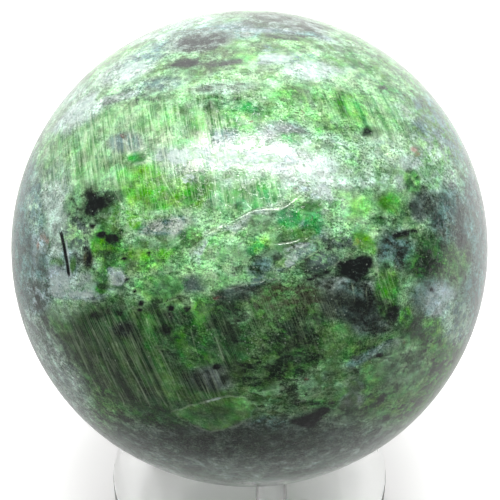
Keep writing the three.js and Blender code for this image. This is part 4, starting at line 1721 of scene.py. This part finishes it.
    def _veins(self, graph: Graph, place: object,
               colour: object) -> tuple[bpy.types.NodeSocket, bpy.types.NodeSocket]:
        """Draws the thin light veins.

        Args:
            graph: The material's graph.
            place: The place.
            colour: The colour under them.

        Returns:
            The colour, and where the veins are.
        """
        waver = graph.noise(place, 40.0, 3.0, 0.6, 18.0)
        offset = graph.scaled(waver, 5.0, graph.math("SUBTRACT", graph.attribute("vein_offset"), 2.5))
        line = graph.ramp(graph.math("ABSOLUTE", offset), 1.5, 0.1)
        broken = graph.ramp(graph.noise(place, 30.0, 2.0, 0.5, 19.0), 0.36, 0.5, 0.2, 1.0)
        line = graph.times(line, graph.times(broken, graph.attribute("vein_strength")))
        pale = graph.mix(0.45, graph.mix(1.0, colour, (1.8, 1.8, 1.7), "MULTIPLY"), (0.75, 0.92, 0.70))
        return graph.mix(graph.times(line, 0.5), colour, pale), line


def start_tree(name: str, inputs: dict[str, str]) -> Graph:
    """Starts a Geometry Nodes tree.

    Args:
        name: Its name.
        inputs: The kinds of its inputs by their names.

    Returns:
        Its graph.
    """
    tree = bpy.data.node_groups.new(name, "GeometryNodeTree")
    for label, kind in inputs.items():
        tree.interface.new_socket(label, in_out="INPUT", socket_type="NodeSocket" + kind)
    tree.interface.new_socket("Geometry", in_out="OUTPUT", socket_type="NodeSocketGeometry")
    return Graph(tree)


def end_tree(graph: Graph, shape: bpy.types.NodeSocket, material: bpy.types.Material) -> bpy.types.NodeTree:
    """Ends a Geometry Nodes tree with real copies in their material.

    Args:
        graph: The tree's graph.
        shape: What the tree makes.
        material: Its material.

    Returns:
        The tree.
    """
    real = graph.node("GeometryNodeRealizeInstances", {0: shape})
    dressed = graph.node("GeometryNodeSetMaterial", {"Geometry": real.outputs[0], "Material": material})
    graph.node("NodeGroupOutput", {0: dressed.outputs[0]})
    return graph.tree


@dataclass
class Ball:
    """The stone, a dense smooth ball.

    Attributes:
        radius: Its radius in metres.
        centre_height: Its centre's height in metres.
        segments: How many faces stand along an edge of the cube that is blown up to it.
    """

    radius: float
    centre_height: float
    segments: int = 124

    def tree(self, material: bpy.types.Material) -> bpy.types.NodeTree:
        """The Geometry Nodes tree that blows up a cube of even faces to the ball.

        Args:
            material: The stone's material.

        Returns:
            The tree.
        """
        graph = start_tree("blown_up_cube", {"Radius": "Float", "Centre height": "Float", "Segments": "Int"})
        values = graph.node("NodeGroupInput").outputs
        points = graph.math("ADD", values["Segments"], 1.0)
        cube = graph.node("GeometryNodeMeshCube", {"Size": (2.0, 2.0, 2.0), "Vertices X": points,
                                                   "Vertices Y": points, "Vertices Z": points})
        place = graph.node("GeometryNodeInputPosition").outputs[0]
        place = graph.vector("TANGENT", graph.vector("SCALE", place, math.pi / 4))
        place = graph.vector("SCALE", graph.vector("NORMALIZE", place), values["Radius"])
        lift = graph.node("ShaderNodeCombineXYZ", {"Z": values["Centre height"]})
        place = graph.vector("ADD", place, lift.outputs[0])
        moved = graph.node("GeometryNodeSetPosition", {"Geometry": cube.outputs["Mesh"], "Position": place})
        smooth = graph.node("GeometryNodeSetShadeSmooth", {"Geometry": moved.outputs[0]})
        return end_tree(graph, smooth.outputs[0], material)

    def make(self, material: bpy.types.Material) -> bpy.types.Object:
        """Makes the ball as a plain mesh with the stone's material."""
        sizes = {"Radius": self.radius, "Centre height": self.centre_height, "Segments": self.segments}
        return from_tree("diopside_ball", self.tree(material), sizes)


def from_tree(name: str, tree: bpy.types.NodeTree, sizes: dict[str, float],
              start: bpy.types.Mesh | None = None) -> bpy.types.Object:
    """Runs a Geometry Nodes tree and keeps its result as a plain mesh.

    Args:
        name: The new object's name.
        tree: The tree.
        sizes: Its inputs' values by name.
        start: The mesh that it is given, if any.

    Returns:
        The object, with no modifier.
    """
    maker = bpy.data.objects.new(name + "_maker", start or bpy.data.meshes.new(name + "_maker"))
    bpy.context.scene.collection.objects.link(maker)
    modifier = maker.modifiers.new(name, "NODES")
    modifier.node_group = tree
    for item in tree.interface.items_tree:
        if item.item_type == "SOCKET" and item.in_out == "INPUT" and item.name in sizes:
            modifier[item.identifier] = sizes[item.name]
    evaluated = maker.evaluated_get(bpy.context.evaluated_depsgraph_get())
    mesh = bpy.data.meshes.new_from_object(evaluated)
    mesh.name = name
    bpy.data.objects.remove(maker)
    piece = bpy.data.objects.new(name, mesh)
    bpy.context.scene.collection.objects.link(piece)
    return piece


def turned(profile: list[tuple[float, float]],
           sides: int) -> tuple[list[tuple[float, float, float]], list[list[int]]]:
    """Turns a profile about the upright axis.

    Args:
        profile: Its corners as radius and height, from the lowest on the axis to the highest on the axis.
        sides: How many faces go round.

    Returns:
        The corners and the faces, which point outwards.
    """
    corners = [(0.0, 0.0, profile[0][1])]
    for radius, height in profile[1:-1]:
        for step in range(sides):
            angle = 2 * math.pi * step / sides
            corners.append((radius * math.cos(angle), radius * math.sin(angle), height))
    corners.append((0.0, 0.0, profile[-1][1]))
    rings = len(profile) - 2
    faces = []
    for step in range(sides):
        after = (step + 1) % sides
        faces.append([0, 1 + after, 1 + step])
        for ring in range(rings - 1):
            low = 1 + ring * sides
            high = low + sides
            faces.append([low + step, low + after, high + after, high + step])
        last = 1 + (rings - 1) * sides
        faces.append([last + step, last + after, len(corners) - 1])
    return corners, faces


def rounded(centre_radius: float, centre_height: float, radius: float, start: float,
            end: float, steps: int = 8) -> list[tuple[float, float]]:
    """The corners of a quarter circle in a profile, from its first to its last angle in degrees."""
    angles = [math.radians(start + (end - start) * step / steps) for step in range(steps + 1)]
    return [(centre_radius + radius * math.cos(angle), centre_height + radius * math.sin(angle))
            for angle in angles]


@dataclass(frozen=True)
class ClearAcrylicFinish:
    """Clear polished acrylic with fine rub marks.

    Attributes:
        ior: Its refractive index.
        polish: The roughness where it is untouched.
        rubbed: How much rougher its rub marks are.
        sawn: How much rougher the pegs are, which are cut from a rod.
    """

    ior: float = 1.49
    polish: float = 0.008
    rubbed: float = 0.035
    sawn: float = 0.12

    def make(self) -> bpy.types.Material:
        """Makes the material.

        Returns:
            The material.
        """
        material, graph, shader = new_material("clear_acrylic")
        place = graph.node("ShaderNodeTexCoord").outputs["Object"]
        cloud = graph.noise(place, 70.0, 3.0, 0.6, 31.0)
        course = {"Vector": place, "Rotation": (0.3, 0.2, 0.7), "Scale": (1.0, 0.06, 1.0)}
        streak = graph.node("ShaderNodeMapping", course)
        rub = graph.ramp(graph.noise(streak.outputs[0], 1400.0, 2.0, 0.5, 32.0), 0.6, 0.72)
        rub = graph.times(rub, graph.ramp(cloud, 0.42, 0.6))
        rough = graph.scaled(rub, self.rubbed, self.polish)
        rough = graph.scaled(graph.attribute("sawn"), self.sawn, rough)
        tint = graph.mix(cloud, (0.98, 0.99, 0.988), (0.995, 0.998, 0.997))
        graph.fill(shader, {"Base Color": tint, "Roughness": rough, "IOR": self.ior,
                            "Transmission Weight": 1.0})
        return material


@dataclass
class Stand:
    """Three round pegs in a round plate, with the sizes of the solids, in metres.

    Attributes:
        peg_radius: A peg's radius.
        peg_circle_radius: How far a peg's axis is from the plate's middle.
        peg_foot: The height of its foot.
        peg_top: The height of its top.
        peg_top_rounding: The rounding of its top edge.
        peg_foot_chamfer: The chamfer of its foot.
        peg_count: How many pegs there are.
        front_peg_turn: How far the front peg is turned to the right, in degrees.
        plate_radius: The plate's radius.
        plate_thickness: The plate's thickness.
        plate_edge_rounding: The rounding of its edges.
        socket_radius: A socket's radius.
        socket_floor: The height of a socket's floor.
        socket_chamfer: The chamfer of a socket's mouth.
        peg_sides: How many faces go round a peg.
        plate_sides: How many faces go round the plate.
    """

    peg_radius: float = 2.1 * MILLIMETRE
    peg_circle_radius: float = 13.0 * MILLIMETRE
    peg_foot: float = 1.75 * MILLIMETRE
    peg_top: float = 22.5 * MILLIMETRE
    peg_top_rounding: float = 0.5 * MILLIMETRE
    peg_foot_chamfer: float = 0.3 * MILLIMETRE
    peg_count: int = 3
    front_peg_turn: float = 13.0
    plate_radius: float = 19.5 * MILLIMETRE
    plate_thickness: float = 5.0 * MILLIMETRE
    plate_edge_rounding: float = 0.8 * MILLIMETRE
    socket_radius: float = 2.35 * MILLIMETRE
    socket_floor: float = 1.5 * MILLIMETRE
    socket_chamfer: float = 0.15 * MILLIMETRE
    peg_sides: int = 96
    plate_sides: int = 192

    def peg_tree(self, material: bpy.types.Material) -> bpy.types.NodeTree:
        """The Geometry Nodes tree that sets one peg round the circle.

        Args:
            material: The acrylic.

        Returns:
            The tree.
        """
        sizes = {"Geometry": "Geometry", "Circle radius": "Float", "Start angle": "Float", "Peg count": "Int"}
        graph = start_tree("pegs_on_a_circle", sizes)
        values = graph.node("NodeGroupInput").outputs
        size = {"Vertices": values["Peg count"], "Radius": values["Circle radius"]}
        circle = graph.node("GeometryNodeMeshCircle", size)
        turn = graph.node("ShaderNodeCombineXYZ", {"Z": values["Start angle"]})
        place = {"Geometry": circle.outputs[0], "Rotation": turn.outputs[0]}
        placed = graph.node("GeometryNodeTransform", place)
        peg = {"Points": placed.outputs[0], "Instance": values["Geometry"]}
        copies = graph.node("GeometryNodeInstanceOnPoints", peg)
        return end_tree(graph, copies.outputs[0], material)

    def make_pegs(self, material: bpy.types.Material) -> bpy.types.Object:
        """Makes the three pegs as one plain mesh.

        Args:
            material: The acrylic.

        Returns:
            The pegs.
        """
        flat = self.peg_radius - self.peg_top_rounding
        profile = [
            (0.0, self.peg_foot),
            (self.peg_radius - self.peg_foot_chamfer, self.peg_foot),
            (self.peg_radius, self.peg_foot + self.peg_foot_chamfer),
            *rounded(flat, self.peg_top - self.peg_top_rounding, self.peg_top_rounding, 0.0, 90.0),
            (0.0, self.peg_top),
        ]
        peg = bpy.data.meshes.new("one_peg")
        corners, faces = turned(profile, self.peg_sides)
        peg.from_pydata(corners, [], faces)
        sizes = {
            "Circle radius": self.peg_circle_radius,
            "Start angle": math.radians(self.front_peg_turn - 90.0),
            "Peg count": self.peg_count,
        }
        pegs = from_tree("stand_pegs", self.peg_tree(material), sizes, peg)
        write_points(pegs.data, "sawn", np.ones(len(pegs.data.vertices)))
        pegs.data.shade_smooth()
        pegs.data.set_sharp_from_angle(angle=SHARP_ANGLE)
        return pegs

    def make_plate(self, material: bpy.types.Material) -> bpy.types.Object:
        """Makes the plate with its sockets.

        Args:
            material: The acrylic.

        Returns:
            The plate.
        """
        flat = self.plate_radius - self.plate_edge_rounding
        low = self.plate_edge_rounding
        high = self.plate_thickness - self.plate_edge_rounding
        profile = [
            (0.0, 0.0),
            *rounded(flat, low, self.plate_edge_rounding, -90.0, 0.0),
            *rounded(flat, high, self.plate_edge_rounding, 0.0, 90.0),
            (0.0, self.plate_thickness),
        ]
        above = self.plate_thickness + self.socket_chamfer
        drill = [
            (0.0, self.socket_floor),
            (self.socket_radius, self.socket_floor),
            (self.socket_radius, self.plate_thickness - self.socket_chamfer),
            (self.socket_radius + 2 * self.socket_chamfer, above),
            (0.0, above),
        ]
        plate = self._object("stand_plate", profile, self.plate_sides)
        drills = []
        for index in range(self.peg_count):
            angle = math.radians(self.front_peg_turn - 90.0 + index * 360.0 / self.peg_count)
            tool = self._object("drill", drill, self.peg_sides)
            shift = (self.peg_circle_radius * math.cos(angle), self.peg_circle_radius * math.sin(angle), 0.0)
            tool.data.transform(Matrix.Translation(shift))
            cut = plate.modifiers.new("socket", "BOOLEAN")
            cut.operation = "DIFFERENCE"
            cut.solver = "EXACT"
            cut.object = tool
            drills.append(tool)
        mesh = bpy.data.meshes.new_from_object(plate.evaluated_get(bpy.context.evaluated_depsgraph_get()))
        plate.modifiers.clear()
        plate.data = mesh
        for tool in drills:
            bpy.data.objects.remove(tool)
        mesh.shade_smooth()
        mesh.set_sharp_from_angle(angle=SHARP_ANGLE)
        mesh.materials.clear()
        mesh.materials.append(material)
        return plate

    def _object(self, name: str, profile: list[tuple[float, float]], sides: int) -> bpy.types.Object:
        """Makes an object of a turned profile.

        Args:
            name: Its name.
            profile: Its profile.
            sides: How many faces go round.

        Returns:
            The object.
        """
        mesh = bpy.data.meshes.new(name)
        corners, faces = turned(profile, sides)
        mesh.from_pydata(corners, [], faces)
        piece = bpy.data.objects.new(name, mesh)
        bpy.context.scene.collection.objects.link(piece)
        return piece


def carried(piece: bpy.types.Object, slot: str, *nodes: str) -> None:
    """Hands a finished piece to the frame and reports it.

    Args:
        piece: The piece.
        slot: The name of a material slot; not used.
        *nodes: The solids that it stands for.
    """
    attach(piece, ROOT_BODY)
    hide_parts(*nodes)
    LOG.info("%s: %d faces, for %s", piece.name, len(piece.data.polygons), ", ".join(nodes))


def main() -> None:
    """Builds the camera, the light and the pieces in order, and reports each piece."""
    logging.basicConfig(level=logging.INFO, format="%(message)s")
    bpy.context.scene.view_settings.view_transform = "Standard"
    low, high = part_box("diopside_sphere")
    view = PhotoView((low + high) / 2, BALL_RADIUS)
    view.make_camera()
    Studio().light()
    Floor().make()
    stone = DiopsideFinish(view).make()
    ball = Ball(view.ball_radius, view.ball_centre.z).make(stone)
    MineralMap(view, FarSide()).write(ball.data)
    carried(ball, "stone", "diopside_sphere")
    acrylic = ClearAcrylicFinish().make()
    stand = Stand()
    carried(stand.make_pegs(acrylic), "clear_acrylic", "stand_peg_front", "stand_peg_right", "stand_peg_left")
    carried(stand.make_plate(acrylic), "clear_acrylic", "stand_base")


if __name__ == "__main__":
    main()
